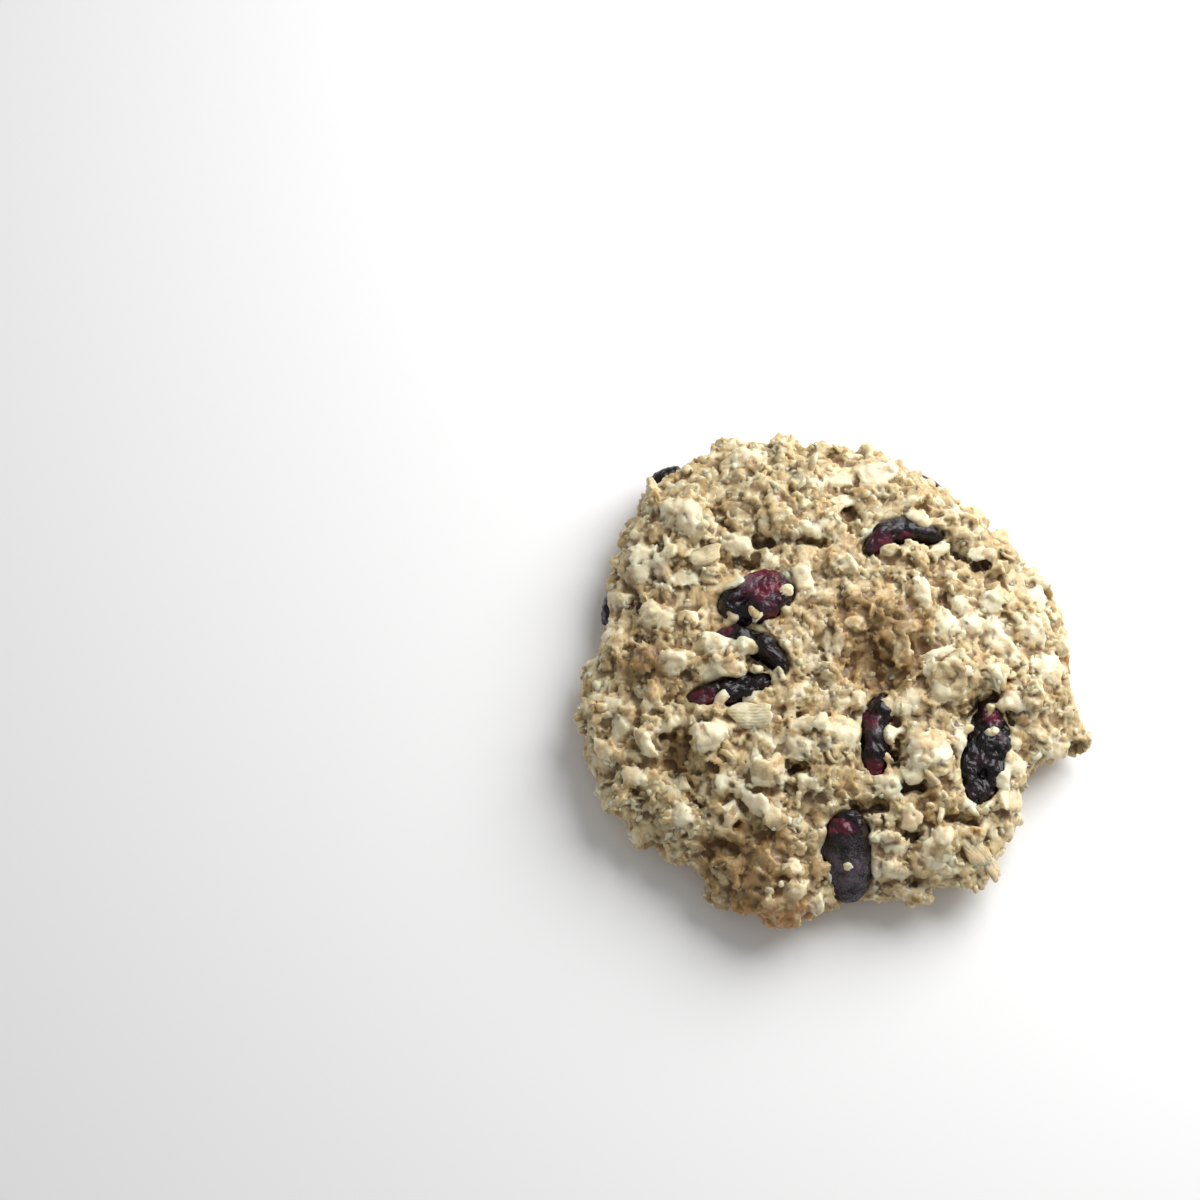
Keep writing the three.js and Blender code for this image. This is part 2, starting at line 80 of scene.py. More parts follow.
@dataclass(frozen=True)
class View:
    """The photograph's view of the cookie, in metres and degrees, with its pixels."""

    lens: float = 70.4
    sensor: float = 36.0
    height: float = 70.0
    distance: float = 0.3408
    shift: tuple[float, float] = (-0.03365, 0.00995)
    aim_height: float = 0.008
    pixels: float = 1200.0

    def axes(self) -> tuple[Vector, Vector, Vector]:
        """The view's right, its up and the way back to the camera."""
        height = math.radians(self.height)
        up = Vector((0, math.sin(height), math.cos(height)))
        back = Vector((0, -math.cos(height), math.sin(height)))
        return Vector((1, 0, 0)), up, back

    def place(self) -> Vector:
        """Where the camera stands."""
        right, up, back = self.axes()
        aside, above = self.shift
        return Vector((0, 0, self.aim_height)) + back * self.distance + right * aside + up * above

    def ray(self, u: float, v: float) -> Vector:
        """The way from the camera through a pixel.

        Args:
            u: pixels from the photograph's left edge.
            v: pixels from its top edge.

        Returns:
            The direction, of length 1.
        """
        right, up, back = self.axes()
        aside, above = u / self.pixels - 0.5, 0.5 - v / self.pixels
        return (right * aside + up * above - back * self.lens / self.sensor).normalized()


# -------------------------------------------------------------------------------------------------
# Node trees
# -------------------------------------------------------------------------------------------------


class Wire:
    """A node's output socket. Sums on it add Math nodes to its tree."""

    def __init__(self, graph: "Graph", socket: bpy.types.NodeSocket) -> None:
        """Wraps an output socket of a graph's tree."""
        self.graph = graph
        self.socket = socket

    def out(self, name: str) -> "Wire":
        """Another output of the same node."""
        return Wire(self.graph, self.graph.socket(self.socket.node.outputs, name))

    def math(self, operation: str, *values: Any) -> "Wire":
        """A Math node on this wire.

        Args:
            operation: the Math node's operation.
            values: what its other inputs hold.

        Returns:
            The node's result.
        """
        sockets = dict(enumerate((self, *values)))
        return self.graph.add("ShaderNodeMath", {"operation": operation}, sockets)

    def __add__(self, other: Any) -> "Wire":
        """Sum."""
        return self.math("ADD", other)

    def __radd__(self, other: Any) -> "Wire":
        """Sum, with the number first."""
        return self.math("ADD", other)

    def __sub__(self, other: Any) -> "Wire":
        """Difference."""
        return self.math("SUBTRACT", other)

    def __rsub__(self, other: float) -> "Wire":
        """Difference, with the number first."""
        return self.math("MULTIPLY_ADD", -1.0, other)

    def __mul__(self, other: Any) -> "Wire":
        """Product."""
        return self.math("MULTIPLY", other)

    def __rmul__(self, other: Any) -> "Wire":
        """Product, with the number first."""
        return self.math("MULTIPLY", other)

    def __truediv__(self, other: Any) -> "Wire":
        """Quotient."""
        return self.math("DIVIDE", other)

    def __pow__(self, power: float) -> "Wire":
        """Power."""
        return self.math("POWER", power)

    def step(self, low: float, high: float) -> "Wire":
        """A smooth step of this wire.

        Args:
            low: where the step is 0.
            high: where it is 1, which may be the lower number.

        Returns:
            The step, from 0 to 1.
        """
        settings = {"interpolation_type": "SMOOTHSTEP"}
        if low < high:
            return self.graph.add(
                "ShaderNodeMapRange", settings, {"Value": self, "From Min": low, "From Max": high}
            )
        return 1.0 - self.step(high, low)


class Graph:
    """A node tree for a material or for geometry, and the one way that nodes enter it."""

    def __init__(self, tree: bpy.types.NodeTree) -> None:
        """Holds the tree to build in."""
        self.tree = tree

    @staticmethod
    def socket(sockets: Any, key: int | str) -> bpy.types.NodeSocket:
        """The socket with this index, or the first one in use that has this name."""
        if isinstance(key, int):
            return sockets[key]
        return next(s for s in sockets if s.name == key and s.enabled)

    def add(
        self,
        kind: str,
        settings: dict[str, Any] | None = None,
        sockets: dict[int | str, Any] | None = None,
    ) -> Wire:
        """Adds a node.

        Args:
            kind: the node's type.
            settings: its properties, set first.
            sockets: a value or a wire for each input, by name or index.

        Returns:
            The first output in use.
        """
        node = self.tree.nodes.new(kind)
        for name, value in (settings or {}).items():
            setattr(node, name, value)
        for key, value in (sockets or {}).items():
            target = self.socket(node.inputs, key)
            if isinstance(value, Wire):
                self.tree.links.new(value.socket, target)
            else:
                target.default_value = value
        outputs = [s for s in node.outputs if s.enabled]
        return Wire(self, outputs[0]) if outputs else Wire(self, node.inputs[0])

    def attribute(self, name: "str | Wire") -> Wire:
        """A number that a mesh holds at each point, by its name."""
        if self.tree.type == "SHADER":
            return self.add("ShaderNodeAttribute", {"attribute_name": name}).out("Fac")
        return self.add("GeometryNodeInputNamedAttribute", {"data_type": "FLOAT"}, {"Name": name})

    def noise(self, place: Wire, span: float, detail: float = 3.0, rough: float = 0.5) -> Wire:
        """Noise from 0 to 1.

        Args:
            place: the coordinates, in metres.
            span: width of one rise, in millimetres.
            detail: how many finer layers it has.
            rough: weight of the finer layers.

        Returns:
            The noise.
        """
        scale = 1 / (span * MM)
        sockets = {"Vector": place, "Scale": scale, "Detail": detail, "Roughness": rough}
        return self.add("ShaderNodeTexNoise", {"normalize": True}, sockets)

    def plates(
        self, place: Wire, span: float | Wire, lean: float | Wire
    ) -> tuple[Wire, Wire, Wire]:
        """Uneven plates side by side, each leaning its own way, as broken oats lie.

        Args:
            place: the coordinates, in metres.
            span: width of a plate, in metres.
            lean: how steeply the plates lean, as a slope.

        Returns:
            The height in metres, how near the gap between plates is from 0 to 1, and a number
            from 0 to 1 for each plate.
        """
        scale = self.add("ShaderNodeMath", {"operation": "DIVIDE"}, {0: 1.0, 1: span})
        sockets = {"Vector": place, "Scale": scale, "Detail": 1.0}
        cloud = self.add("ShaderNodeTexNoise", {"normalize": True}, sockets).out("Color")
        wander = self.vector("SCALE", self.vector("SUBTRACT", cloud, (0.5, 0.5, 0.5)), span)
        bent = self.vector("ADD", wander, place)
        cells = self.add("ShaderNodeTexVoronoi", None, {"Vector": bent, "Scale": scale})
        away = self.vector("SUBTRACT", bent, cells.out("Position"))
        way = self.vector("SUBTRACT", cells.out("Color"), (0.5, 0.5, 0.5))
        height = self.vector("DOT_PRODUCT", away, way).out("Value") * lean * 2.0
        number = self.add("ShaderNodeSeparateXYZ", None, {"Vector": cells.out("Color")})
        return height, cells.step(0.45, 0.85), number

    def vector(self, operation: str, first: Any, second: Any) -> Wire:
        """A Vector Math node on two vectors, or for SCALE on a vector and a number."""
        key: int | str = "Scale" if operation == "SCALE" else 1
        return self.add("ShaderNodeVectorMath", {"operation": operation}, {0: first, key: second})

    def mix(self, share: Any, first: Any, second: Any) -> Wire:
        """A colour between two, by a share from 0 to 1."""
        sockets = {"Factor": share, "A": first, "B": second}
        return self.add("ShaderNodeMix", {"data_type": "RGBA"}, sockets)


# -------------------------------------------------------------------------------------------------
# Finishes
# -------------------------------------------------------------------------------------------------


@dataclass(frozen=True)
class Patch:
    """A round patch of another colour: its middle and its reach, in millimetres.

    Its core is the share of its reach that takes the whole colour.
    """

    CORE: ClassVar[float] = 0.4

    x: float
    y: float
    z: float
    reach: float


# Patches painted darker and browner: painted shade over the broad hollow in the middle and on the
# left and front-left flanks, away from the lamp, where the dough is also taken as moister.
SHADED_DAMP_PATCHES = (
    Patch(6.0, 2.4, 14.0, 10.0),
    Patch(-21.5, -12.0, 9.0, 5.0),
    Patch(-14.0, -30.0, 8.0, 9.0),
    Patch(-27.5, -1.0, 12.5, 5.0),
)
TOASTED = (Patch(-7.6, -36.0, 6.6, 5.6), Patch(-11.5, -35.5, 6.0, 4.0), Patch(34.6, 2.4, 6.5, 2.6))


@dataclass(frozen=True)
class Finish:
    """What every finish of the cookie shares: its name and its even settings."""

    name: str
    specular: float = 0.5
    subsurface: float = 0.0
    subsurface_reach: float = 1.0 * MM
    subsurface_spread: tuple[float, float, float] = (1.0, 0.75, 0.45)
    coat_roughness: float = 0.2

    def paint(self, graph: Graph, place: Wire) -> dict[str, Any]:
        """The shader's varying inputs; each finish has its own.

        Args:
            graph: the material's tree.
            place: object coordinates, in metres.

        Returns:
            A wire or value for each input by name.
        """
        raise NotImplementedError

    def material(self) -> bpy.types.Material:
        """Makes the finish's material.

        Returns:
            The material.
        """
        made = bpy.data.materials.new(self.name)
        made.use_nodes = True
        made.node_tree.nodes.clear()
        graph = Graph(made.node_tree)
        place = graph.add("ShaderNodeTexCoord").out("Object")
        even = {
            "Specular IOR Level": self.specular,
            "Subsurface Weight": self.subsurface,
            "Subsurface Radius": self.subsurface_spread,
            "Subsurface Scale": self.subsurface_reach,
            "Coat Roughness": self.coat_roughness,
        }
        shader = graph.add("ShaderNodeBsdfPrincipled", None, {**even, **self.paint(graph, place)})
        graph.add("ShaderNodeOutputMaterial", None, {"Surface": shader})
        return made

    @staticmethod
    def bump(graph: Graph, height: Wire, depth: float) -> Wire:
        """A normal for the shader.

        Args:
            graph: the material's tree.
            height: relief from 0 to 1.
            depth: depth of that relief, in millimetres.

        Returns:
            The bumped normal.
        """
        return graph.add("ShaderNodeBump", None, {"Height": height, "Distance": depth * MM})

    @staticmethod
    def near(graph: Graph, place: Wire, patches: Sequence[Patch]) -> Wire:
        """How near each point is to some patches.

        Args:
            graph: the material's tree.
            place: object coordinates, in metres.
            patches: the patches.

        Returns:
            1 in the middle of a patch, 0 beyond the reach of all.
        """
        nearest = None
        for patch in patches:
            middle = (patch.x * MM, patch.y * MM, patch.z * MM)
            away = graph.vector("DISTANCE", place, middle).out("Value")
            share = away.step(patch.reach * MM, patch.CORE * patch.reach * MM)
            nearest = share if nearest is None else nearest.math("MAXIMUM", share)
        return nearest


@dataclass(frozen=True)
class DoughFinish(Finish):
    """Moist, crumbly baked dough, with the oats that it coats, its toasted rim and underside, and
    painted shade in its creases, hollows and pits.
    """

    crumb: Colour = colour(213, 193, 147)
    # moist: moister dough, and also the colour of painted shade in broad hollows and the shaded
    # patches
    moist_and_shaded: Colour = colour(152, 125, 78)
    # gap: the colour of painted shade in the creases between plates and in the hollows of the crumb
    gap: Colour = colour(119, 87, 47)
    honey: Colour = colour(216, 170, 104)
    oat: Colour = colour(240, 232, 202)
    # oat_shade: a darker oat tone, given at random, and also painted shade on oats in broad hollows
    # and the shaded patches
    oat_shade: Colour = colour(215, 195, 148)
    toasted: Colour = colour(174, 126, 68)
    # hollow: the colour of painted shade at the bottom of cracks and pits
    hollow: Colour = colour(64, 43, 25)
    broad_span: float = 8.0
    honey_span: float = 3.6
    patch_span: float = 2.2
    crumb_span: float = 0.9
    fine_span: float = 0.3
    plate_span: float = 1.9
    plate_lean: float = 0.25
    relief_depth: float = 1.0
    toast_heights: tuple[float, float] = (0.2, 3.0)

    def paint(self, graph: Graph, place: Wire) -> dict[str, Any]:
        """Colour with painted shade, gloss and crumbs of the dough.

        Args:
            graph: the material's tree.
            place: object coordinates, in metres.

        Returns:
            Base colour, roughness, coat weight and normal.
        """
        broad = graph.noise(place, self.broad_span, 2.0)
        patches = graph.noise(place, self.patch_span, 3.0)
        crumbs = graph.noise(place, self.crumb_span, 2.0, 0.6)
        fine = graph.noise(place, self.fine_span, 2.0, 0.6)
        chips, chip_gap, chip = graph.plates(place, self.plate_span * MM, self.plate_lean)
        oaty = graph.attribute("oat")
        # Painted shade: broad hollows, marked by the sunk attribute, and the shaded patches make
        # the dough browner and its oats darker and fewer.
        damp_and_shade = (0.6 * graph.attribute("sunk") + self.near(graph, place, SHADED_DAMP_PATCHES)).math("MINIMUM", 1.0)
        crumb_share = 0.6 * patches + 0.4 * broad + 0.3 * chip + 0.5 * crumbs - 0.4 * damp_and_shade
        base = graph.mix(crumb_share.step(0.5, 1.1), self.moist_and_shaded, self.crumb)
        clean = 0.75 * graph.attribute("tone") + 0.5 * chip - 0.4 * damp_and_shade
        oat = graph.mix(clean, self.oat_shade, self.oat)
        coated = 0.45 * oaty + 0.5 * chip + 0.5 * patches + 0.5 * crumbs - 0.45 * damp_and_shade
        base = graph.mix(coated.step(0.6, 1.3), base, oat)
        golden = graph.noise(place, self.honey_span, 3.0).step(0.5, 0.68)
        base = graph.mix(0.34 * golden, base, self.honey)
        # Painted shade: the creases between plates, the hollows that the cavity attribute marks and
        # some noise take the gap colour, darker still in the shaded patches.
        gap = chip_gap * (1.1 - oaty)
        low = (graph.attribute("cavity") + 0.3 * patches + 0.3 * crumbs).step(0.4, 1.35)
        dark = (0.25 * gap + low).math("MINIMUM", 1.0)
        base = graph.mix(dark * (0.7 + 0.28 * damp_and_shade), base, self.gap)
        height = graph.add("ShaderNodeSeparateXYZ", None, {"Vector": place}).out("Z")
        lowest, highest = self.toast_heights
        foot = height.step(highest * MM, lowest * MM) * (broad + patches).step(0.7, 1.15)
        base = graph.mix(foot, base, self.toasted)
        toast = self.near(graph, place, TOASTED) * patches.step(0.3, 0.6)
        base = graph.mix(toast, base, self.toasted)
        # Painted shade at the bottom of cracks and pits, as strong as the pit attribute.
        base = graph.mix(0.8 * graph.attribute("pit"), base, self.hollow)
        flat = 1.0 - 0.55 * oaty
        relief = chips * (0.7 * flat / MM) - 0.05 * gap + 0.04 * fine + 0.08 * crumbs
        return {
            "Base Color": base,
            "Roughness": 0.66 - 0.4 * fine.step(0.52, 0.72),
            "Coat Weight": 0.5 * (patches + 0.4 * fine).step(0.55, 0.85),
            "Normal": self.bump(graph, relief, self.relief_depth),
        }


@dataclass(frozen=True)
class OatFinish(Finish):
    """A baked oat flake: cream, browner at some edges, with fine lines along its length and a
    little painted shade in the creases between its plates.
    """

    pale: Colour = colour(237, 228, 195)
    tan: Colour = colour(210, 188, 144)
    edge: Colour = colour(164, 130, 84)
    toasted: Colour = colour(192, 142, 80)
    mottle_span: float = 1.5
    grain_span: float = 0.35
    plate_span: float = 1.6
    plate_lean: float = 0.2
    line_width: float = 0.46
    relief_depth: float = 1.0

    def paint(self, graph: Graph, place: Wire) -> dict[str, Any]:
        """Colour, gloss and lines of a flake.

        Args:
            graph: the material's tree.
            place: object coordinates, in metres.

        Returns:
            Base colour, roughness, coat weight and normal.
        """
        tone = graph.attribute("tone")
        across = graph.attribute("across")
        mottle = graph.noise(place, self.mottle_span, 3.0)
        grains = graph.noise(place, self.grain_span, 3.0, 0.6)
        chips, chip_gap, chip = graph.plates(place, self.plate_span * MM, self.plate_lean)
        wave = (across + 0.5 * mottle) * (2 * math.pi / self.line_width)
        lines = wave.math("SINE").step(-0.6, 1.0)
        lined = graph.attribute("lined") * mottle.step(0.35, 0.6)
        clean = (0.6 * tone + 0.7 * mottle + 0.4 * chip).step(0.45, 1.25)
        base = graph.mix(clean, self.tan, self.pale)
        base = graph.mix((1.0 - lines) * lined * 0.22, base, self.edge)
        # Browner rims are toasting; the creases between plates take a little painted shade.
        rim = graph.attribute("rim") * mottle.step(0.35, 0.7)
        base = graph.mix((rim * 0.55 + chip_gap * 0.2).math("MINIMUM", 1.0), base, self.edge)
        base = graph.mix(self.near(graph, place, TOASTED), base, self.toasted)
        relief = 0.05 * lines * lined + 0.06 * grains + chips / MM
        return {
            "Base Color": base,
            "Roughness": 0.58 - 0.25 * grains,
            "Coat Weight": 0.35 * mottle.step(0.45, 0.7),
            "Normal": self.bump(graph, relief, self.relief_depth),
        }


@dataclass(frozen=True)
class FruitFinish(Finish):
    """Dried cranberry: near-black maroon, redder where thin, wrinkled and sticky."""

    dark: Colour = colour(12, 5, 7)
    red: Colour = colour(98, 26, 44)
    purple: Colour = colour(56, 28, 42)
    # bloom: a dull grey bloom, and also painted blue-grey highlights where the skin glints
    bloom: Colour = colour(112, 100, 108)
    patch_span: float = 2.6
    wrinkle_span: float = 0.9
    fine_span: float = 0.25
    relief_depth: float = 0.5

    def paint(self, graph: Graph, place: Wire) -> dict[str, Any]:
        """Colour, gloss and wrinkles of a cranberry.

        Args:
            graph: the material's tree.
            place: object coordinates, in metres.

        Returns:
            Base colour, roughness, coat weight and normal.
        """
        patches = graph.noise(place, self.patch_span, 2.0)
        wrinkles = graph.noise(place, self.wrinkle_span, 3.0)
        fine = graph.noise(place, self.fine_span, 2.0)
        blush = graph.attribute("blush")
        bloom = graph.attribute("bloom")
        thin = (patches + 0.5 * wrinkles).step(0.70, 0.95)
        base = graph.mix(thin * 0.5, self.dark, self.purple)
        flesh = graph.mix(patches.step(0.4, 0.6), self.purple, self.red)
        base = graph.mix((1.3 * blush + 1.2 * wrinkles).step(0.9, 1.7), base, flesh)
        # The bloom colour: the berry's dull bloom, and painted highlights at its glinting spots.
        base = graph.mix(bloom * (patches + fine).step(0.75, 1.25) * 0.7, base, self.bloom)
        return {
            "Base Color": base,
            "Roughness": 0.1 + 0.18 * fine + 0.34 * bloom,
            "Coat Weight": 0.3 + 0.2 * wrinkles,
            "Normal": self.bump(graph, 0.7 * wrinkles + 0.3 * fine, self.relief_depth),
        }


@dataclass(frozen=True)
class FloorFinish(Finish):
    """The plain pale floor."""

    pale: Colour = (0.93, 0.93, 0.93, 1.0)

    def paint(self, graph: Graph, place: Wire) -> dict[str, Any]:
        """One even colour."""
        return {"Base Color": self.pale, "Roughness": 0.8}


# -------------------------------------------------------------------------------------------------
# Meshes
# -------------------------------------------------------------------------------------------------


@dataclass
class Shape:
    """A closed mesh as plain lists, with numbers held at its points."""

    points: list[Vector]
    faces: list[tuple[int, ...]]
    numbers: dict[str, list[float]] = field(default_factory=dict)

    def placed(self, turn: Matrix) -> "Shape":
        """The same shape, moved by a matrix."""
        return Shape([turn @ point for point in self.points], self.faces, self.numbers)


def mesh_from(name: str, shapes: Iterable[Shape]) -> bpy.types.Mesh:
    """Joins shapes into one mesh.

    Args:
        name: the mesh's name.
        shapes: the shapes, which all hold the same numbers.

    Returns:
        The mesh, with its numbers as attributes.
    """
    points: list[Vector] = []
    faces: list[tuple[int, ...]] = []
    numbers: dict[str, list[float]] = {}
    for shape in shapes:
        start = len(points)
        points += shape.points
        faces += [tuple(start + i for i in face) for face in shape.faces]
        for key, values in shape.numbers.items():
            numbers.setdefault(key, []).extend(values)
    mesh = bpy.data.meshes.new(name)
    mesh.from_pydata(points, [], faces)
    mesh.update()
    for key, values in numbers.items():
        store(mesh, key, np.array(values))
    mesh.shade_smooth()
    return mesh


def store(mesh: bpy.types.Mesh, name: str, values: np.ndarray) -> None:
    """Writes a number for each point of a mesh.

    Args:
        mesh: the mesh.
        name: the attribute's name.
        values: one number a point.
    """
    held = mesh.attributes.get(name) or mesh.attributes.new(name, "FLOAT", "POINT")
    held.data.foreach_set("value", np.asarray(values, dtype=np.float32))


def numbers_of(mesh: bpy.types.Mesh, name: str) -> np.ndarray:
    """The numbers that a mesh holds under a name, one a point."""
    values = np.empty(len(mesh.vertices), dtype=np.float32)
    mesh.attributes[name].data.foreach_get("value", values)
    return values


def add_object(name: str, mesh: bpy.types.Mesh) -> bpy.types.Object:
    """Puts a mesh in the scene."""
    made = bpy.data.objects.new(name, mesh)
    bpy.context.scene.collection.objects.link(made)
    return made


def settled(made: bpy.types.Object) -> bpy.types.Object:
    """Applies an object's modifiers.

    Args:
        made: the object.

    Returns:
        The same object, with its evaluated mesh and no modifier.
    """
    bpy.context.view_layer.update()
    graph = bpy.context.evaluated_depsgraph_get()
    mesh = bpy.data.meshes.new_from_object(made.evaluated_get(graph), depsgraph=graph)
    made.modifiers.clear()
    before = made.data
    made.data = mesh
    bpy.data.meshes.remove(before)
    return made


def points_of(mesh: bpy.types.Mesh) -> np.ndarray:
    """A mesh's points, one row each, in metres."""
    flat = np.empty(3 * len(mesh.vertices), dtype=np.float32)
    mesh.vertices.foreach_get("co", flat)
    return flat.reshape(-1, 3)


def normals_of(mesh: bpy.types.Mesh) -> np.ndarray:
    """A mesh's point normals, one row each."""
    flat = np.empty(3 * len(mesh.vertices), dtype=np.float32)
    mesh.vertex_normals.foreach_get("vector", flat)
    return flat.reshape(-1, 3)


def set_points(mesh: bpy.types.Mesh, points: np.ndarray) -> None:
    """Moves a mesh's points."""
    mesh.vertices.foreach_set("co", np.asarray(points, dtype=np.float32).ravel())
    mesh.update()


def copy_of_node(node: str, name: str) -> bpy.types.Object:
    """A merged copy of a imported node.

    Args:
        node: the node's name.
        name: the copy's name.

    Returns:
        The copy, whose faces share their corners.
    """
    form = bmesh.new()
    form.from_mesh(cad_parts[node].data)
    bmesh.ops.remove_doubles(form, verts=form.verts, dist=1e-3 * MM)
    mesh = bpy.data.meshes.new(name)
    form.to_mesh(mesh)
    form.free()
    return add_object(name, mesh)


def tree_over(meshes: Iterable[bpy.types.Mesh]) -> BVHTree:
    """A search tree over the faces of meshes."""
    points: list[Vector] = []
    faces: list[tuple[int, ...]] = []
    for mesh in meshes:
        start = len(points)
        points += [vertex.co.copy() for vertex in mesh.vertices]
        faces += [tuple(start + i for i in face.vertices) for face in mesh.polygons]
    return BVHTree.FromPolygons(points, faces)


def distances(points: np.ndarray, tree: BVHTree, limit: float) -> np.ndarray:
    """How far each point is from a surface, up to a limit.

    Args:
        points: one row each, in metres.
        tree: the surface.
        limit: the most that is looked for, in metres.

    Returns:
        One distance a point.
    """
    found = (tree.find_nearest(Vector(point), limit)[3] for point in points)
    return np.array([limit if away is None else away for away in found])


def smooth_step(values: np.ndarray, low: float, high: float) -> np.ndarray:
    """A smooth step of each number, 0 at low and 1 at high."""
    share = np.clip((values - low) / (high - low), 0, 1)
    return share * share * (3 - 2 * share)


# -------------------------------------------------------------------------------------------------
# Geometry Nodes
# -------------------------------------------------------------------------------------------------


class GeometryTree:
    """A Geometry Nodes tree with named inputs, and the modifier that runs it."""

    def __init__(self, name: str, inputs: dict[str, str]) -> None:
        """Makes an empty tree.

        Args:
            name: the tree's name.
            inputs: each input's name and kind of socket, after the geometry.
        """
        self.tree = bpy.data.node_groups.new(name, "GeometryNodeTree")
        face = self.tree.interface
        face.new_socket("Geometry", in_out="INPUT", socket_type="NodeSocketGeometry")
        self.inputs = {
            key: face.new_socket(key, in_out="INPUT", socket_type="NodeSocket" + kind).identifier
            for key, kind in inputs.items()
        }
        face.new_socket("Geometry", in_out="OUTPUT", socket_type="NodeSocketGeometry")
        self.graph = Graph(self.tree)
        self.source = self.graph.add("NodeGroupInput")

    def finish(self, geometry: Wire) -> None:
        """Ends the tree: instances are realized and take the finish."""
        real = self.graph.add("GeometryNodeRealizeInstances", None, {"Geometry": geometry})
        sockets = {"Geometry": real, "Material": self.source.out("Finish")}
        dressed = self.graph.add("GeometryNodeSetMaterial", None, sockets)
        self.graph.add("NodeGroupOutput", None, {"Geometry": dressed})

    def run(self, made: bpy.types.Object, **values: Any) -> bpy.types.Object:
        """Runs the tree on an object.

        Args:
            made: the object, whose mesh is replaced by the result.
            values: the inputs by name, with underscores for spaces.

        Returns:
            The same object, as a plain mesh.
        """
        modifier = made.modifiers.new(self.tree.name, "NODES")
        modifier.node_group = self.tree
        for key, value in values.items():
            modifier[self.inputs[key.replace("_", " ")]] = value
        return settled(made)


class ScatterTree(GeometryTree):
    """Lays copies of small shapes over a surface, no two nearer than a spacing.

    TRIES is how many places are drawn on a square as wide as the spacing, of which the tree keeps
    those that are far enough apart.
    """

    TRIES = 5.0

    def __init__(self) -> None:
        """Builds the tree."""
        super().__init__(
            "scatter_over_dough",
            {
                "Shapes": "Collection",
                "Where": "String",
                "Spacing": "Float",
                "Smallest": "Float",
                "Largest": "Float",
                "Lean": "Float",
                "Sink": "Float",
                "Seed": "Int",
                "Finish": "Material",
            },
        )
        graph, source = self.graph, self.source
        spacing, seed = source.out("Spacing"), source.out("Seed")
        points = graph.add(
            "GeometryNodeDistributePointsOnFaces",
            {"distribute_method": "POISSON"},
            {
                "Mesh": source.out("Geometry"),
                "Distance Min": spacing,
                "Density Max": self.TRIES * spacing**-2.0,
                "Density Factor": graph.attribute(source.out("Where")),
                "Seed": seed,
            },
        )
        shapes = graph.add(
            "GeometryNodeCollectionInfo",
            None,
            {"Collection": source.out("Shapes"), "Separate Children": True, "Reset Children": True},
        )
        size = self._random(source.out("Smallest"), source.out("Largest"), 1.0)
        copies = graph.add(
            "GeometryNodeInstanceOnPoints",
            None,
            {
                "Points": points.out("Points"),
                "Instance": shapes,
                "Pick Instance": True,
                "Rotation": points.out("Rotation"),
                "Scale": size,
            },
        )
        lean = source.out("Lean")
        turn = graph.add(
            "ShaderNodeCombineXYZ",
            None,
            {
                "X": self._random(-1.0, 1.0, 2.0) * lean,
                "Y": self._random(-1.0, 1.0, 3.0) * lean,
                "Z": self._random(0.0, 2 * math.pi, 4.0),
            },
        )
        euler = graph.add("FunctionNodeEulerToRotation", None, {"Euler": turn})
        turned = graph.add(
            "GeometryNodeRotateInstances", None, {"Instances": copies, "Rotation": euler}
        )
        down = graph.add("ShaderNodeCombineXYZ", None, {"Z": -1.0 * source.out("Sink") * size})
        sunk = graph.add(
            "GeometryNodeTranslateInstances", None, {"Instances": turned, "Translation": down}
        )
        toned = graph.add(
            "GeometryNodeStoreNamedAttribute",
            {"data_type": "FLOAT", "domain": "INSTANCE"},
            {"Geometry": sunk, "Name": "tone", "Value": self._random(0.0, 1.0, 5.0)},
        )
        self.finish(toned)

    def _random(self, low: Any, high: Any, salt: float) -> Wire:
        """A number for each copy between two bounds, with a salt that tells the draws apart."""
        seed = self.source.out("Seed") * 10.0 + salt
        sockets = {"Min": low, "Max": high, "Seed": seed}
        return self.graph.add("FunctionNodeRandomValue", {"data_type": "FLOAT"}, sockets)


@dataclass(frozen=True)
class ReliefPass:
    """One layer of relief: the width of its forms in millimetres, and how strong each kind is.

    Rise is noise, crease its narrow folds, puff round cushions and lean the slope of plates.
    """

    span: float
    rise: float = 0.0
    crease: float = 0.0
    puff: float = 0.0
    lean: float = 0.0


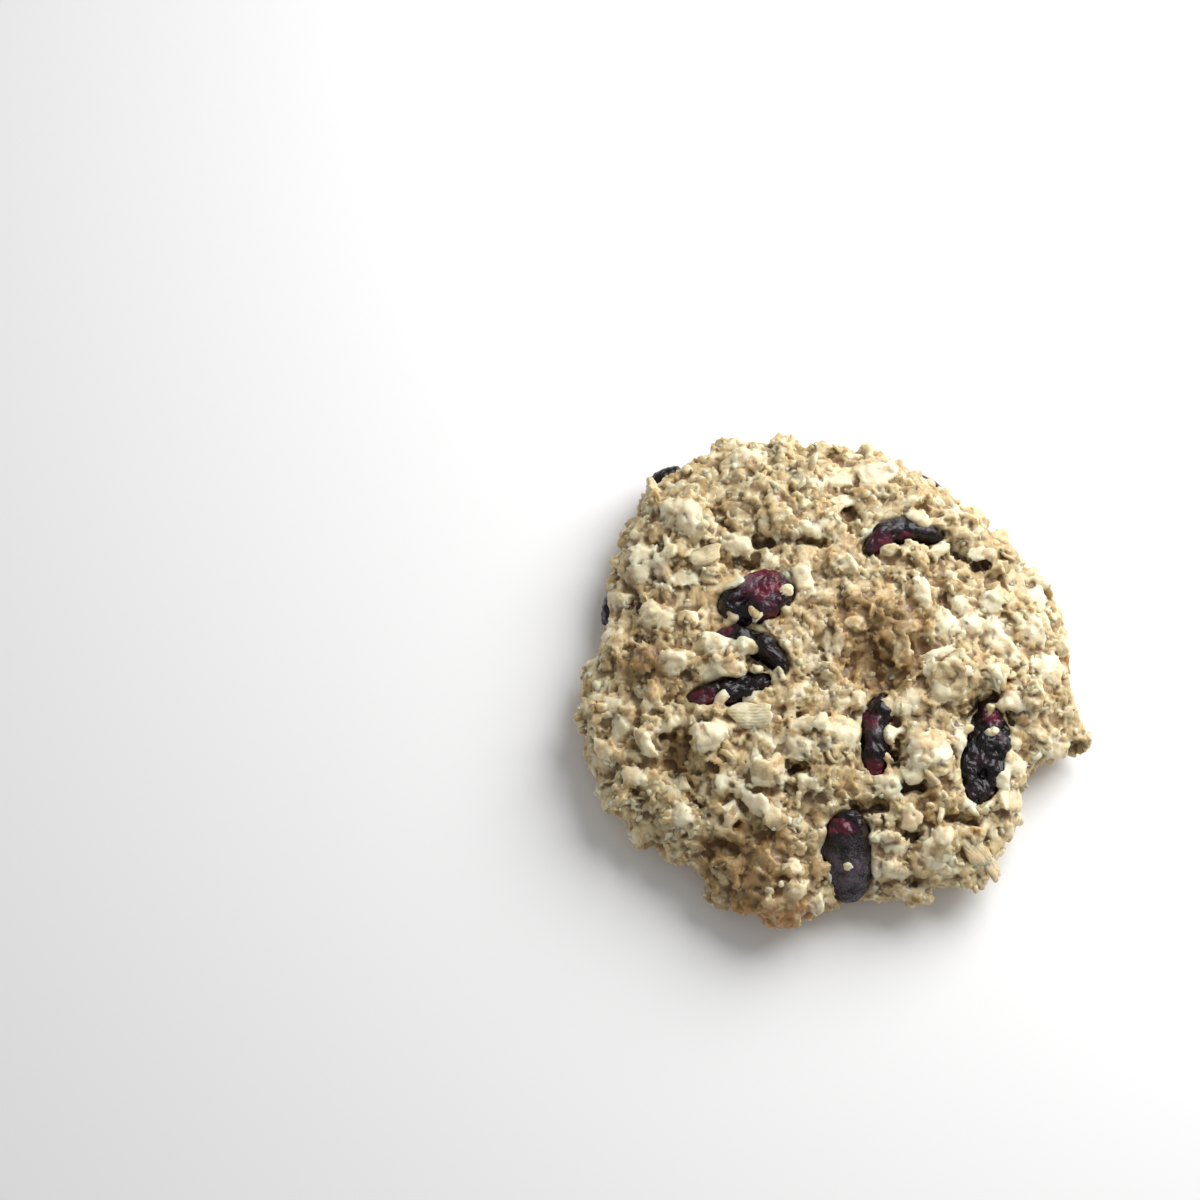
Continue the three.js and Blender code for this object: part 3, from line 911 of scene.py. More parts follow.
class ReliefTree(GeometryTree):
    """Pushes a surface in and out along its normals: noise, creases, puffs and leaning plates."""

    def __init__(self) -> None:
        """Builds the tree."""
        super().__init__(
            "relief",
            {
                "Span": "Float",
                "Rise": "Float",
                "Crease": "Float",
                "Puff": "Float",
                "Lean": "Float",
                "Finish": "Material",
            },
        )
        graph, source = self.graph, self.source
        place = graph.add("GeometryNodeInputPosition")
        scale = source.out("Span") ** -1.0
        cloud = graph.add(
            "ShaderNodeTexNoise",
            {"normalize": True},
            {"Vector": place, "Scale": scale, "Detail": 2.0, "Roughness": 0.55},
        )
        cells = graph.add(
            "ShaderNodeTexVoronoi",
            {"feature": "SMOOTH_F1"},
            {"Vector": place, "Scale": scale, "Smoothness": 0.25, "Detail": 0.0},
        )
        plates, _, _ = graph.plates(place, source.out("Span"), source.out("Lean"))
        swing = (cloud - 0.5) * 2.0
        height = (
            swing * source.out("Rise")
            + (0.3 - swing.math("ABSOLUTE")) * source.out("Crease")
            + (0.45 - cells) * source.out("Puff")
            + plates
        )
        normal = graph.add("GeometryNodeInputNormal")
        offset = graph.add(
            "ShaderNodeVectorMath",
            {"operation": "SCALE"},
            {"Vector": normal, "Scale": height * graph.attribute("free")},
        )
        moved = graph.add(
            "GeometryNodeSetPosition", None, {"Geometry": source.out("Geometry"), "Offset": offset}
        )
        self.finish(moved)

    def roughen(
        self,
        made: bpy.types.Object,
        passes: Iterable[ReliefPass],
        depth: float,
        finish: bpy.types.Material,
    ) -> None:
        """Lays relief over an object, one layer after another.

        Args:
            made: the object, which holds how freely each point moves as "free".
            passes: the layers, wide forms first.
            depth: how deep a strength of 1 is, in metres.
            finish: the object's material.
        """
        for layer in passes:
            self.run(
                made,
                Span=layer.span * MM,
                Rise=layer.rise * depth,
                Crease=layer.crease * depth,
                Puff=layer.puff * depth,
                Lean=layer.lean,
                Finish=finish,
            )


# -------------------------------------------------------------------------------------------------
# Places on the crown
# -------------------------------------------------------------------------------------------------


class Ground:
    """A surface that pieces are laid on, found by the pixels of the photograph."""

    CENTRE = (831.0, 684.0)
    STEPS_IN = 40
    STEP_IN = 0.02
    SLOPE_REACH = 0.33
    EDGE_DROP = 0.7

    def __init__(self, meshes: Iterable[bpy.types.Mesh], view: View) -> None:
        """Holds the surface of the meshes and the view that the pixels belong to."""
        self.tree = tree_over(meshes)
        self.view = view

    def seen(self, u: float, v: float) -> Vector:
        """The place that a pixel shows.

        Args:
            u: pixels from the photograph's left edge.
            v: pixels from its top edge.

        Returns:
            The place; a pixel beside the cookie gives the place on its rim nearest to it.
        """
        for _ in range(self.STEPS_IN):
            hit = self.tree.ray_cast(self.view.place(), self.view.ray(u, v))[0]
            if hit is not None:
                return hit
            u += self.STEP_IN * (self.CENTRE[0] - u)
            v += self.STEP_IN * (self.CENTRE[1] - v)
        raise ValueError(f"no surface near the pixel {u:.0f}, {v:.0f}")

    def below(self, x: float, y: float, fallback: float) -> Vector:
        """The highest point over a place in the base, or a height there if there is none."""
        hit = self.tree.ray_cast(Vector((x, y, 1.0)), Vector((0, 0, -1)))[0]
        return hit if hit is not None else Vector((x, y, fallback))

    def laid(self, u: float, v: float, bearing: float, length: float, lift: float) -> Matrix:
        """How a piece lies at a pixel.

        Args:
            u: pixels from the photograph's left edge.
            v: pixels from its top edge.
            bearing: the way its length points, in degrees from +X towards +Y.
            length: its length in millimetres, over which the slope is taken.
            lift: height of its middle over the surface, in millimetres.

        Returns:
            The matrix that takes a piece lying along +X to its place.
        """
        here = self.seen(u, v)
        reach = self.SLOPE_REACH * length * MM
        low = self.EDGE_DROP * here.z
        ways = [math.radians(bearing + quarter * 90) for quarter in range(4)]
        front, left, back, right = (
            self.below(here.x + reach * math.cos(way), here.y + reach * math.sin(way), low)
            for way in ways
        )
        along, aside = (front - back).normalized(), (left - right).normalized()
        up = along.cross(aside).normalized()
        middle = here.copy()
        middle.z = 0.5 * (here.z + 0.25 * (front + left + back + right).z)
        turn = Matrix((along, up.cross(along), up)).transposed().to_4x4()
        return Matrix.Translation(middle + up * lift * MM) @ turn


# -------------------------------------------------------------------------------------------------
# Oats
# -------------------------------------------------------------------------------------------------


class FlakeKind(Enum):
    """How a rolled oat has come out of the roller and the bowl."""

    WHOLE = "an oval plate with a crease along its middle"
    SNAPPED = "a plate broken across"
    STRIPED = "a plate with fine lines along its length"
    WEDGE = "a corner of a plate, standing up at its point"
    SLIVER = "a narrow strip"


@dataclass(frozen=True)
class OatFlake:
    """One rolled oat flake, in millimetres, lying flat along +X before it is placed."""

    length: float
    width: float
    kind: FlakeKind = FlakeKind.WHOLE
    thickness: float = 1.0
    seed: int = 0
    sides: int = 18
    rings: int = 4
    curls: tuple[float, float] = (-0.06, 0.09)
    twists: tuple[float, float] = (-0.05, 0.05)
    crease: float = 0.12
    crease_width: float = 0.16
    dent: float = 0.3
    faint_lines: float = 0.25

    def shape(self) -> Shape:
        """Builds the flake.

        Returns:
            A closed shape in metres that holds "across", in millimetres from its middle line,
            "rim", 1 at the edge and 0 inside, "lined", 1 where it has lines, and "oat", 1.
        """
        draw = Random(self.seed)
        curl, twist = draw.uniform(*self.curls), draw.uniform(*self.twists)
        phases = [draw.uniform(0, 2 * math.pi) for _ in range(6)]
        cut = draw.uniform(0.05, 0.5) if self.kind in (FlakeKind.SNAPPED, FlakeKind.WEDGE) else 2.0
        slant = draw.uniform(-0.35, 0.35)

        def outline(turn: float) -> tuple[float, float]:
            """The edge at a turn, as shares of half the length and half the width."""
            uneven = 1 + sum(
                0.12 / (n + 2) ** 0.6 * math.sin((n + 2) * turn + phase)
                for n, phase in enumerate(phases)
            )
            along, across = uneven * math.cos(turn), uneven * math.sin(turn)
            if self.kind is FlakeKind.WEDGE:
                across *= 0.35 + 0.65 * (1 - along) / 2
            return min(along, cut + slant * across), across

        def lift(along: float, across: float) -> float:
            """How far the plate's middle sheet rises at a place, in millimetres."""
            x, y = along * self.length / 2, across * self.width / 2
            dent = self.dent * noise(Vector((0.8 * x, 0.8 * y, self.seed)))
            return curl * x * x + twist * x * y + dent * self.length / 5

        points: list[Vector] = []
        across_mm: list[float] = []
        rim: list[float] = []
        for side in (1.0, -1.0):
            for ring in range(self.rings + 1):
                share = math.sin(math.pi / 2 * ring / self.rings)
                edge = (1 - share**3) ** 0.5
                for step in range(1 if ring == 0 else self.sides):
                    x, y = outline(2 * math.pi * step / self.sides)
                    x, y = x * share, y * share
                    half = self.thickness / 2 * edge
                    crease = self.crease * math.exp(-((y / self.crease_width) ** 2)) * edge
                    z = lift(x, y) + side * half - (crease if side > 0 else 0)
                    points.append(Vector((x * self.length / 2, y * self.width / 2, z)) * MM)
                    across_mm.append(y * self.width / 2)
                    rim.append(share**3)
                if side < 0 and ring == self.rings - 1:
                    break
        lined = 1.0 if self.kind is FlakeKind.STRIPED else self.faint_lines
        count = len(points)
        numbers = {"across": across_mm, "rim": rim, "lined": [lined] * count, "oat": [1.0] * count}
        return Shape(points, self._faces(), numbers)

    def _faces(self) -> list[tuple[int, ...]]:
        """The faces over the top, round the edge and over the underside."""

        def index(side: int, ring: int, step: int) -> int:
            """The number of a point; the outermost ring of the underside is the top's."""
            if ring == self.rings:
                side = 0
            start = side * (1 + self.rings * self.sides)
            return start if ring == 0 else start + 1 + (ring - 1) * self.sides + step % self.sides

        faces: list[tuple[int, ...]] = []
        for side in (0, 1):
            for ring in range(self.rings):
                for step in range(self.sides):
                    outer = (index(side, ring + 1, step), index(side, ring + 1, step + 1))
                    inner = (index(side, ring, step), index(side, ring, step + 1))
                    face = (inner[0], *outer) if ring == 0 else (inner[0], *outer, inner[1])
                    faces.append(face if side == 0 else face[::-1])
        return faces


@dataclass(frozen=True)
class Nugget:
    """An angular crumb of coated oat with soft edges, in millimetres, lying along +X."""

    seed: int
    length: float = 1.0
    width: float = 0.8
    height: float = 0.62
    cuts: int = 3
    sides: int = 9
    hardness: float = 7.0
    oat: float = 1.0
    unevenness: float = 0.14
    bump_count: float = 2.2

    def shape(self) -> Shape:
        """Builds the crumb, as a polyhedron whose edges are rounded off.

        Returns:
            A closed shape in metres that holds "oat", how much of it is oat and not dough.
        """
        form = bmesh.new()
        bmesh.ops.create_icosphere(form, subdivisions=self.cuts, radius=1.0)
        draw = Random(self.seed)
        planes = [(Vector(way), 1.0) for way in ((1, 0, 0), (-1, 0, 0), (0, 1, 0), (0, -1, 0))]
        planes += [(Vector((0, 0, 1)), 0.95), (Vector((0, 0, -1)), 0.95)]
        for _ in range(self.sides):
            way = Vector((draw.gauss(0, 1), draw.gauss(0, 1), draw.gauss(0, 1))).normalized()
            planes.append((way, draw.uniform(0.66, 0.95)))
        size = Vector((self.length, self.width, self.height)) / 2
        points = []
        for vertex in form.verts:
            way = vertex.co.normalized()
            nearness = (max(0.0, way.dot(plane)) / away for plane, away in planes)
            reach = sum(near**self.hardness for near in nearness) ** (-1 / self.hardness)
            reach *= 1 + self.unevenness * noise(way * self.bump_count + Vector((self.seed, 0, 0)))
            points.append(way * reach * size * MM)
        faces = [tuple(vertex.index for vertex in face.verts) for face in form.faces]
        form.free()
        return Shape(points, faces, {"oat": [self.oat] * len(points)})


@dataclass(frozen=True)
class ShownFlake:
    """A flake that stands out: the photograph's pixel at its middle, and the way it points.

    A striped or very small one lies loose on the dough; the dough coats the rest.
    """

    SEED: ClassVar[int] = 700
    SMALLEST_COATED: ClassVar[float] = 2.6

    u: float
    v: float
    bearing: float
    length: float
    width: float
    kind: FlakeKind = FlakeKind.WHOLE
    lean: float = 0.0
    tone: float = 0.85

    @property
    def loose(self) -> bool:
        """Whether it lies on the dough, which doesn't coat it."""
        return self.kind is FlakeKind.STRIPED or self.length < self.SMALLEST_COATED

    def placed(self, ground: Ground, number: int) -> Shape:
        """The flake, laid on the ground.

        Args:
            ground: what it lies on.
            number: its place in the list, which its uneven shape is drawn from.

        Returns:
            The flake's shape, which also holds "tone".
        """
        thickness = min(1.0, 0.1 + 0.42 * self.width)
        flake = OatFlake(self.length, self.width, self.kind, thickness, self.SEED + number)
        shape = flake.shape()
        shape.numbers["tone"] = [self.tone] * len(shape.points)
        turn = ground.laid(self.u, self.v, self.bearing, self.length, 0.25 * thickness)
        return shape.placed(turn @ Matrix.Rotation(math.radians(self.lean), 4, "X"))


@dataclass(frozen=True)
class ShownNugget:
    """A coated lump that stands out: the photograph's pixel at its middle, and its size.

    Its lift is the height of its middle over the surface, as a share of its own height.
    """

    SEED: ClassVar[int] = 900

    u: float
    v: float
    length: float
    width: float
    bearing: float = 0.0
    height: float = 2.6
    tone: float = 0.6
    lift: float = -0.16

    def placed(self, ground: Ground, number: int) -> Shape:
        """The nugget, laid on the ground.

        Args:
            ground: what it lies on.
            number: its place in the list, which its uneven shape is drawn from.

        Returns:
            The nugget's shape, which also holds "tone".
        """
        seed, oat = self.SEED + number, 0.5 + 0.5 * self.tone
        shape = Nugget(seed, self.length, self.width, self.height, oat=oat).shape()
        shape.numbers["tone"] = [self.tone] * len(shape.points)
        lift = self.lift * self.height
        return shape.placed(ground.laid(self.u, self.v, self.bearing, self.length, lift))


WHOLE, SNAPPED, STRIPED = FlakeKind.WHOLE, FlakeKind.SNAPPED, FlakeKind.STRIPED
WEDGE, SLIVER = FlakeKind.WEDGE, FlakeKind.SLIVER

SHOWN_FLAKES = (
    # back left of the crown
    ShownFlake(668, 545, -68, 5.2, 1.4, SLIVER, 20, 0.5),
    ShownFlake(661, 567, 82, 4.6, 2.6, tone=1.0),
    ShownFlake(706, 556, 15, 4.8, 3.8, STRIPED, tone=0.7),
    ShownFlake(683, 579, -5, 4.6, 2.8, lean=-15),
    ShownFlake(641, 556, 14, 5.0, 1.8, SLIVER, 15, 0.8),
    ShownFlake(644, 572, 60, 3.6, 2.4, tone=0.6),
    ShownFlake(736, 584, 22, 3.8, 2.2, tone=0.75),
    ShownFlake(811, 531, -25, 4.2, 1.9, SLIVER, 20, 1.0),
    ShownFlake(653, 611, -12, 5.2, 2.4, tone=0.8),
    # back right of the crown
    ShownFlake(843, 503, 20, 4.2, 2.6, tone=0.9),
    ShownFlake(944, 554, -50, 4.4, 3.2, SNAPPED, tone=0.9),
    ShownFlake(979, 555, 20, 3.6, 2.6, tone=1.0),
    ShownFlake(922, 586, -78, 6.0, 2.6, lean=15, tone=1.0),
    ShownFlake(993, 600, 30, 4.0, 3.6, SNAPPED, tone=0.95),
    ShownFlake(965, 611, -50, 5.0, 2.4, tone=0.9),
    ShownFlake(948, 625, -60, 5.6, 2.8, SNAPPED),
    ShownFlake(1003, 640, -58, 6.2, 2.0, SLIVER, 15, 0.9),
    ShownFlake(1035, 632, -60, 5.2, 2.8, tone=1.0),
    ShownFlake(1037, 598, 60, 4.0, 3.2, tone=0.9),
    ShownFlake(804, 580, -65, 5.4, 2.6, tone=0.6),
    # middle
    ShownFlake(838, 638, 92, 5.8, 1.7, SLIVER, 24, 0.8),
    ShownFlake(828, 646, 92, 4.4, 1.1, SLIVER, 24, 0.7),
    ShownFlake(858, 625, -25, 3.4, 2.6, tone=0.8),
    ShownFlake(904, 626, 15, 3.6, 2.6, tone=0.8),
    ShownFlake(903, 654, 72, 5.6, 3.6, lean=-12, tone=0.8),
    ShownFlake(937, 655, 18, 5.2, 2.0, SLIVER, 25, 0.95),
    ShownFlake(935, 671, 12, 3.8, 2.4, tone=1.0),
    ShownFlake(951, 678, 72, 6.0, 4.4, SNAPPED, tone=0.6),
    ShownFlake(752, 716, -3, 6.8, 3.8, STRIPED, tone=0.95),
    ShownFlake(812, 722, 5, 5.4, 2.8, tone=0.7),
    # right
    ShownFlake(1049, 669, -50, 5.6, 4.4, tone=1.0),
    ShownFlake(1052, 742, 65, 5.0, 3.0, tone=0.6),
    ShownFlake(1010, 801, 40, 6.4, 3.8, tone=0.7),
    # front
    ShownFlake(763, 808, -52, 6.2, 4.8, WEDGE, 15, 1.0),
    ShownFlake(800, 790, 78, 5.8, 1.3, SLIVER, 25, 0.8),
    ShownFlake(819, 785, -20, 3.8, 2.8, WEDGE, tone=0.9),
    ShownFlake(687, 813, 20, 4.8, 3.4, SNAPPED, tone=1.0),
    ShownFlake(731, 813, 75, 3.8, 2.8, tone=0.8),
    ShownFlake(603, 748, -52, 5.2, 2.0, tone=0.7),
    ShownFlake(645, 742, -50, 5.8, 2.6, tone=0.7),
    ShownFlake(635, 776, -35, 4.6, 2.0, tone=0.6),
    ShownFlake(888, 786, -40, 4.4, 2.8, tone=1.0),
    ShownFlake(920, 775, 20, 5.0, 2.6, WEDGE, tone=0.7),
    ShownFlake(944, 833, 80, 4.8, 2.6, SNAPPED, tone=0.9),
    ShownFlake(912, 818, 90, 4.2, 2.8, tone=0.7),
    ShownFlake(975, 850, -42, 6.0, 3.8, STRIPED, tone=0.4),
    ShownFlake(991, 868, -45, 5.0, 2.6, STRIPED, tone=0.4),
    # on the fruit
    ShownFlake(848, 866, 0, 1.5, 1.2, tone=0.9),
)


def shown_flakes(ground: Ground, loose: bool) -> list[Shape]:
    """The flakes that stand out, laid on the ground: those that lie loose, or the coated ones."""
    flakes = enumerate(SHOWN_FLAKES)
    return [flake.placed(ground, n) for n, flake in flakes if flake.loose == loose]


SHOWN_NUGGETS = (
    # dough that laps over the fruit
    ShownNugget(917, 518, 5.0, 4.4, 20, 2.4, 0.6, 0.1),
    ShownNugget(935, 524, 3.2, 2.4, -30, 2.0, 0.5, 0.2),
    ShownNugget(889, 551, 3.2, 2.4, 20, 1.8, 0.5, 0.1),
    ShownNugget(752, 648, 3.4, 2.4, -30, 1.6, 0.15),
    ShownNugget(742, 641, 3.4, 2.0, -10, 1.8, 0.7),
    ShownNugget(722, 697, 2.4, 1.8, 40, 1.8, 0.85, 0.1),
    ShownNugget(751, 698, 3.4, 1.8, 10, 1.8, 0.7, 0.1),
    ShownNugget(704, 710, 3.2, 2.0, 0, 1.6, 0.25),
    ShownNugget(712, 672, 3.6, 2.0, 10, 1.8, 0.6),
    ShownNugget(890, 734, 3.2, 2.8, 60, 2.0, 1.0, 0.15),
    ShownNugget(885, 757, 3.2, 1.8, -30, 1.6, 0.9, 0.15),
    ShownNugget(884, 704, 3.4, 3.0, 0, 2.4, 0.9),
    ShownNugget(863, 700, 2.6, 2.2, 0, 2.0, 0.7),
    ShownNugget(992, 732, 2.4, 1.8, 30, 1.6, 0.8, 0.2),
    ShownNugget(1011, 742, 2.4, 2.0, 10, 1.8, 1.0, 0.1),
    ShownNugget(1006, 758, 3.6, 5.2, 0, 2.2, 0.95),
    ShownNugget(1000, 780, 3.0, 3.4, 30, 2.0, 0.8, 0.1),
    ShownNugget(969, 806, 1.9, 1.5, 20, 1.4, 0.9, 0.2),
    ShownNugget(961, 742, 2.4, 2.6, 0, 2.0, 0.7),
    ShownNugget(755, 612, 2.3, 1.7, -30, 1.5, 0.2, 0.3),
    ShownNugget(783, 608, 2.2, 1.4, -50, 1.6, 0.8, 0.2),
    ShownNugget(821, 840, 2.2, 5.0, 0, 2.0, 0.6),
    ShownNugget(876, 858, 2.4, 5.2, 0, 2.2, 0.8),
    ShownNugget(731, 613, 2.6, 3.0, 0, 2.0, 0.9),
    ShownNugget(786, 592, 2.6, 3.2, 0, 2.2, 0.9),
    # back left of the crown
    ShownNugget(677, 513, 7.6, 5.6, -20, 3.2, 0.65),
    ShownNugget(745, 456, 5.8, 4.8, 0, 2.8, 0.6),
    ShownNugget(741, 545, 5.6, 3.4, -15, 2.6, 0.55),
    ShownNugget(769, 560, 3.2, 4.0, 0, 2.2, 0.65),
    ShownNugget(640, 535, 3.0, 3.0, 0, 2.0, 0.6),
    ShownNugget(615, 600, 4.4, 3.6, -40, 2.8, 0.55),
    ShownNugget(655, 615, 6.6, 3.8, -12, 2.4, 0.6),
    ShownNugget(617, 627, 5.0, 4.6, 60, 2.6, 0.55),
    ShownNugget(645, 658, 4.6, 4.2, 70, 2.8, 0.5),
    ShownNugget(672, 664, 4.4, 4.6, 80, 2.8, 0.6),
    ShownNugget(702, 620, 3.4, 2.8, 0, 2.0, 1.0),
    ShownNugget(724, 646, 7.0, 3.4, -14, 2.6, 0.85),
    ShownNugget(726, 667, 6.0, 3.0, -5, 2.4, 0.65),
    ShownNugget(735, 644, 4.6, 2.4, -14, 2.4, 0.8),
    ShownNugget(706, 648, 4.2, 3.2, -14, 2.6, 0.7),
    # back right of the crown
    ShownNugget(877, 475, 5.6, 4.6, 10, 2.8, 1.0),
    ShownNugget(841, 478, 4.2, 4.4, 0, 2.4, 0.8),
    ShownNugget(975, 627, 4.0, 3.4, 20, 2.8, 0.7),
    ShownNugget(993, 643, 4.4, 3.2, -50, 2.6, 0.8),
    ShownNugget(994, 624, 3.6, 3.0, 40, 2.6, 0.75),
    ShownNugget(951, 511, 3.4, 2.6, 0, 2.0, 0.8),
    ShownNugget(1064, 646, 3.2, 2.4, -70, 2.4, 0.2),
    # middle and right
    ShownNugget(950, 684, 7.6, 6.0, 70, 3.2, 0.5),
    ShownNugget(843, 730, 5.0, 5.6, 80, 3.0, 0.9),
    ShownNugget(910, 701, 5.2, 4.4, 20, 2.8, 0.95),
    ShownNugget(925, 748, 7.4, 5.2, 20, 3.4, 0.75),
    ShownNugget(1010, 703, 4.0, 3.4, 0, 2.6, 0.85),
    ShownNugget(1014, 764, 5.4, 5.2, 0, 3.0, 0.8),
    ShownNugget(1062, 745, 4.8, 4.8, 0, 2.8, 0.4),
    # front
    ShownNugget(608, 702, 5.0, 3.2, -10, 2.6, 0.5),
    ShownNugget(647, 708, 3.0, 2.4, 0, 2.2, 0.6),
    ShownNugget(666, 724, 3.2, 3.8, 60, 2.2, 0.3),
    ShownNugget(620, 725, 2.6, 3.0, 0, 2.0, 0.5),
    ShownNugget(710, 738, 6.2, 4.2, -5, 3.2, 0.9),
    ShownNugget(763, 745, 5.0, 4.4, 0, 2.8, 0.55),
    ShownNugget(794, 748, 4.0, 4.6, 80, 2.8, 0.5),
    ShownNugget(768, 774, 6.4, 5.0, -10, 3.2, 0.7),
    ShownNugget(722, 782, 2.6, 2.2, 40, 2.0, 0.95),
    ShownNugget(739, 789, 2.6, 2.2, 30, 2.0, 0.95),
    ShownNugget(724, 833, 3.4, 2.8, -40, 2.2, 0.4),
    ShownNugget(738, 840, 2.8, 2.4, 60, 2.0, 0.5),
    ShownNugget(770, 858, 4.0, 3.0, -20, 2.4, 0.6),
    ShownNugget(793, 867, 3.8, 3.0, 0, 2.4, 0.6),
    ShownNugget(775, 912, 5.0, 3.6, -25, 2.8, 0.3),
    ShownNugget(792, 892, 4.4, 3.6, 70, 2.8, 0.35),
    ShownNugget(933, 853, 5.8, 4.8, 0, 3.0, 0.75),
    ShownNugget(890, 846, 4.2, 4.2, 0, 2.6, 0.6),
    ShownNugget(899, 872, 4.4, 3.6, 0, 2.6, 0.7),
    ShownNugget(900, 892, 4.0, 2.8, -10, 2.4, 0.85),
    ShownNugget(950, 873, 3.4, 2.6, 10, 2.2, 0.7),
)


@dataclass(frozen=True)
class Chip:
    """A broken bit of oat: an uneven slab with soft edges, in millimetres."""

    seed: int
    width: float = 0.8
    height: float = 0.5
    sides: int = 6
    oat: float = 1.0
    levels: tuple[tuple[float, float], ...] = ((-0.5, 0.6), (-0.25, 0.98), (0.2, 1.0), (0.5, 0.66))

    def shape(self) -> Shape:
        """Builds the bit, with a few dozen faces, from outlines at a height and of a size each.

        Returns:
            A closed shape in metres that holds "oat", how much of it is oat and not dough.
        """
        draw = Random(self.seed)
        n = self.sides
        turns = [2 * math.pi * (i + draw.uniform(-0.3, 0.3)) / n for i in range(n)]
        reaches = [draw.uniform(0.36, 0.54) for _ in turns]
        slant = (draw.uniform(-0.5, 0.5), draw.uniform(-0.5, 0.5))
        points: list[Vector] = []
        for level, share in self.levels:
            for turn, reach in zip(turns, reaches):
                x = share * reach * math.cos(turn)
                y = share * reach * math.sin(turn) * self.width
                tip = (slant[0] * x + slant[1] * y) * (1 if level > 0 else 0.3)
                points.append(Vector((x, y, level * self.height + tip)) * MM)
        last = len(self.levels) - 1
        faces: list[tuple[int, ...]] = [
            tuple(range(n))[::-1],
            tuple(range(last * n, (last + 1) * n)),
        ]
        for ring in range(last):
            for i in range(n):
                a, b = ring * n + i, ring * n + (i + 1) % n
                faces.append((a, b, b + n, a + n))
        return Shape(points, faces, {"oat": [self.oat] * len(points)})


@dataclass(frozen=True)
class ShapeSet:
    """A few small shapes of one kind, each about a millimetre long, kept out of the scene."""

    name: str
    count: int
    seed: int

    def one(self, draw: Random, number: int) -> Shape:
        """One of the shapes; each kind has its own.

        Args:
            draw: what its proportions are drawn from.
            number: its number in the set.

        Returns:
            The shape.
        """
        raise NotImplementedError

    def collection(self) -> bpy.types.Collection:
        """Makes the shapes.

        Returns:
            A collection that isn't linked to the scene.
        """
        made = bpy.data.collections.new(self.name)
        draw = Random(self.seed)
        for number in range(self.count):
            name = f"{self.name}_{number}"
            mesh = mesh_from(name, [self.one(draw, number)])
            made.objects.link(bpy.data.objects.new(name, mesh))
        return made


@dataclass(frozen=True)
class NuggetShapes(ShapeSet):
    """Nuggets with firm edges, which the dough coats."""

    widths: tuple[float, float] = (0.65, 1.0)
    heights: tuple[float, float] = (0.5, 0.8)
    hardness: float = 14.0

    def one(self, draw: Random, number: int) -> Shape:
        """One nugget of the set."""
        width, height = draw.uniform(*self.widths), draw.uniform(*self.heights)
        oat, seed = draw.uniform(0.2, 1.0), self.seed + number
        return Nugget(seed, 1.0, width, height, hardness=self.hardness, oat=oat).shape()


@dataclass(frozen=True)
class ChipShapes(ShapeSet):
    """Chips of oat and dough."""

    sides: int = 6
    widths: tuple[float, float] = (0.6, 1.0)
    heights: tuple[float, float] = (0.35, 0.7)

    def one(self, draw: Random, number: int) -> Shape:
        """One chip of the set."""
        width, height = draw.uniform(*self.widths), draw.uniform(*self.heights)
        oat = draw.uniform(0.0, 1.0)
        return Chip(self.seed + number, width, height, self.sides, oat).shape()


@dataclass(frozen=True)
class OatShapes(ShapeSet):
    """Rolled oats of mixed kinds."""

    widths: tuple[float, float] = (0.45, 0.9)
    thickness: tuple[float, float] = (0.2, 0.34)
    sides: int = 14
    rings: int = 4
    kinds: tuple[FlakeKind, ...] = (WHOLE, SNAPPED, WHOLE, WHOLE, SNAPPED, WEDGE, STRIPED)

    def one(self, draw: Random, number: int) -> Shape:
        """One flake of the set."""
        kind = self.kinds[number % len(self.kinds)]
        width, thickness = draw.uniform(*self.widths), draw.uniform(*self.thickness)
        seed = self.seed + number
        return OatFlake(1.0, width, kind, thickness, seed, self.sides, self.rings).shape()


@dataclass(frozen=True)
class Scattered:
    """Small pieces of one kind, scattered over the dough, in millimetres.

    Where names the attribute that says how thickly they lie, and lean is the most that one turns
    out of the surface, in radians. Each is sunk by a share of its own size.
    """

    name: str
    shapes: ShapeSet
    where: str
    spacing: float
    sizes: tuple[float, float]
    lean: float
    sink: float
    seed: int

    def laid(
        self, dough: bpy.types.Mesh, scatter: ScatterTree, finish: bpy.types.Material
    ) -> bpy.types.Object:
        """Lays the pieces.

        Args:
            dough: the surface, which holds the attribute.
            scatter: the tree that lays them.
            finish: their material.

        Returns:
            The pieces as one object.
        """
        smallest, largest = self.sizes
        return scatter.run(
            add_object(self.name, dough.copy()),
            Shapes=self.shapes.collection(),
            Where=self.where,
            Spacing=self.spacing * MM,
            Smallest=smallest,
            Largest=largest,
            Lean=self.lean,
            Sink=self.sink * MM,
            Seed=self.seed,
            Finish=finish,
        )


# -------------------------------------------------------------------------------------------------
# The cookie's dough
# -------------------------------------------------------------------------------------------------


@dataclass(frozen=True)
class Crevice:
    """A crack, pit or hollow in the crown, along a line between two pixels of the photograph.

    Its reach and depth are millimetres, a high edge makes its walls steep, and dark is how nearly
    black the painted shade at its bottom is.
    """

    start: tuple[float, float]
    end: tuple[float, float]
    reach: float
    depth: float
    edge: float = 4.0
    dark: float = 1.0


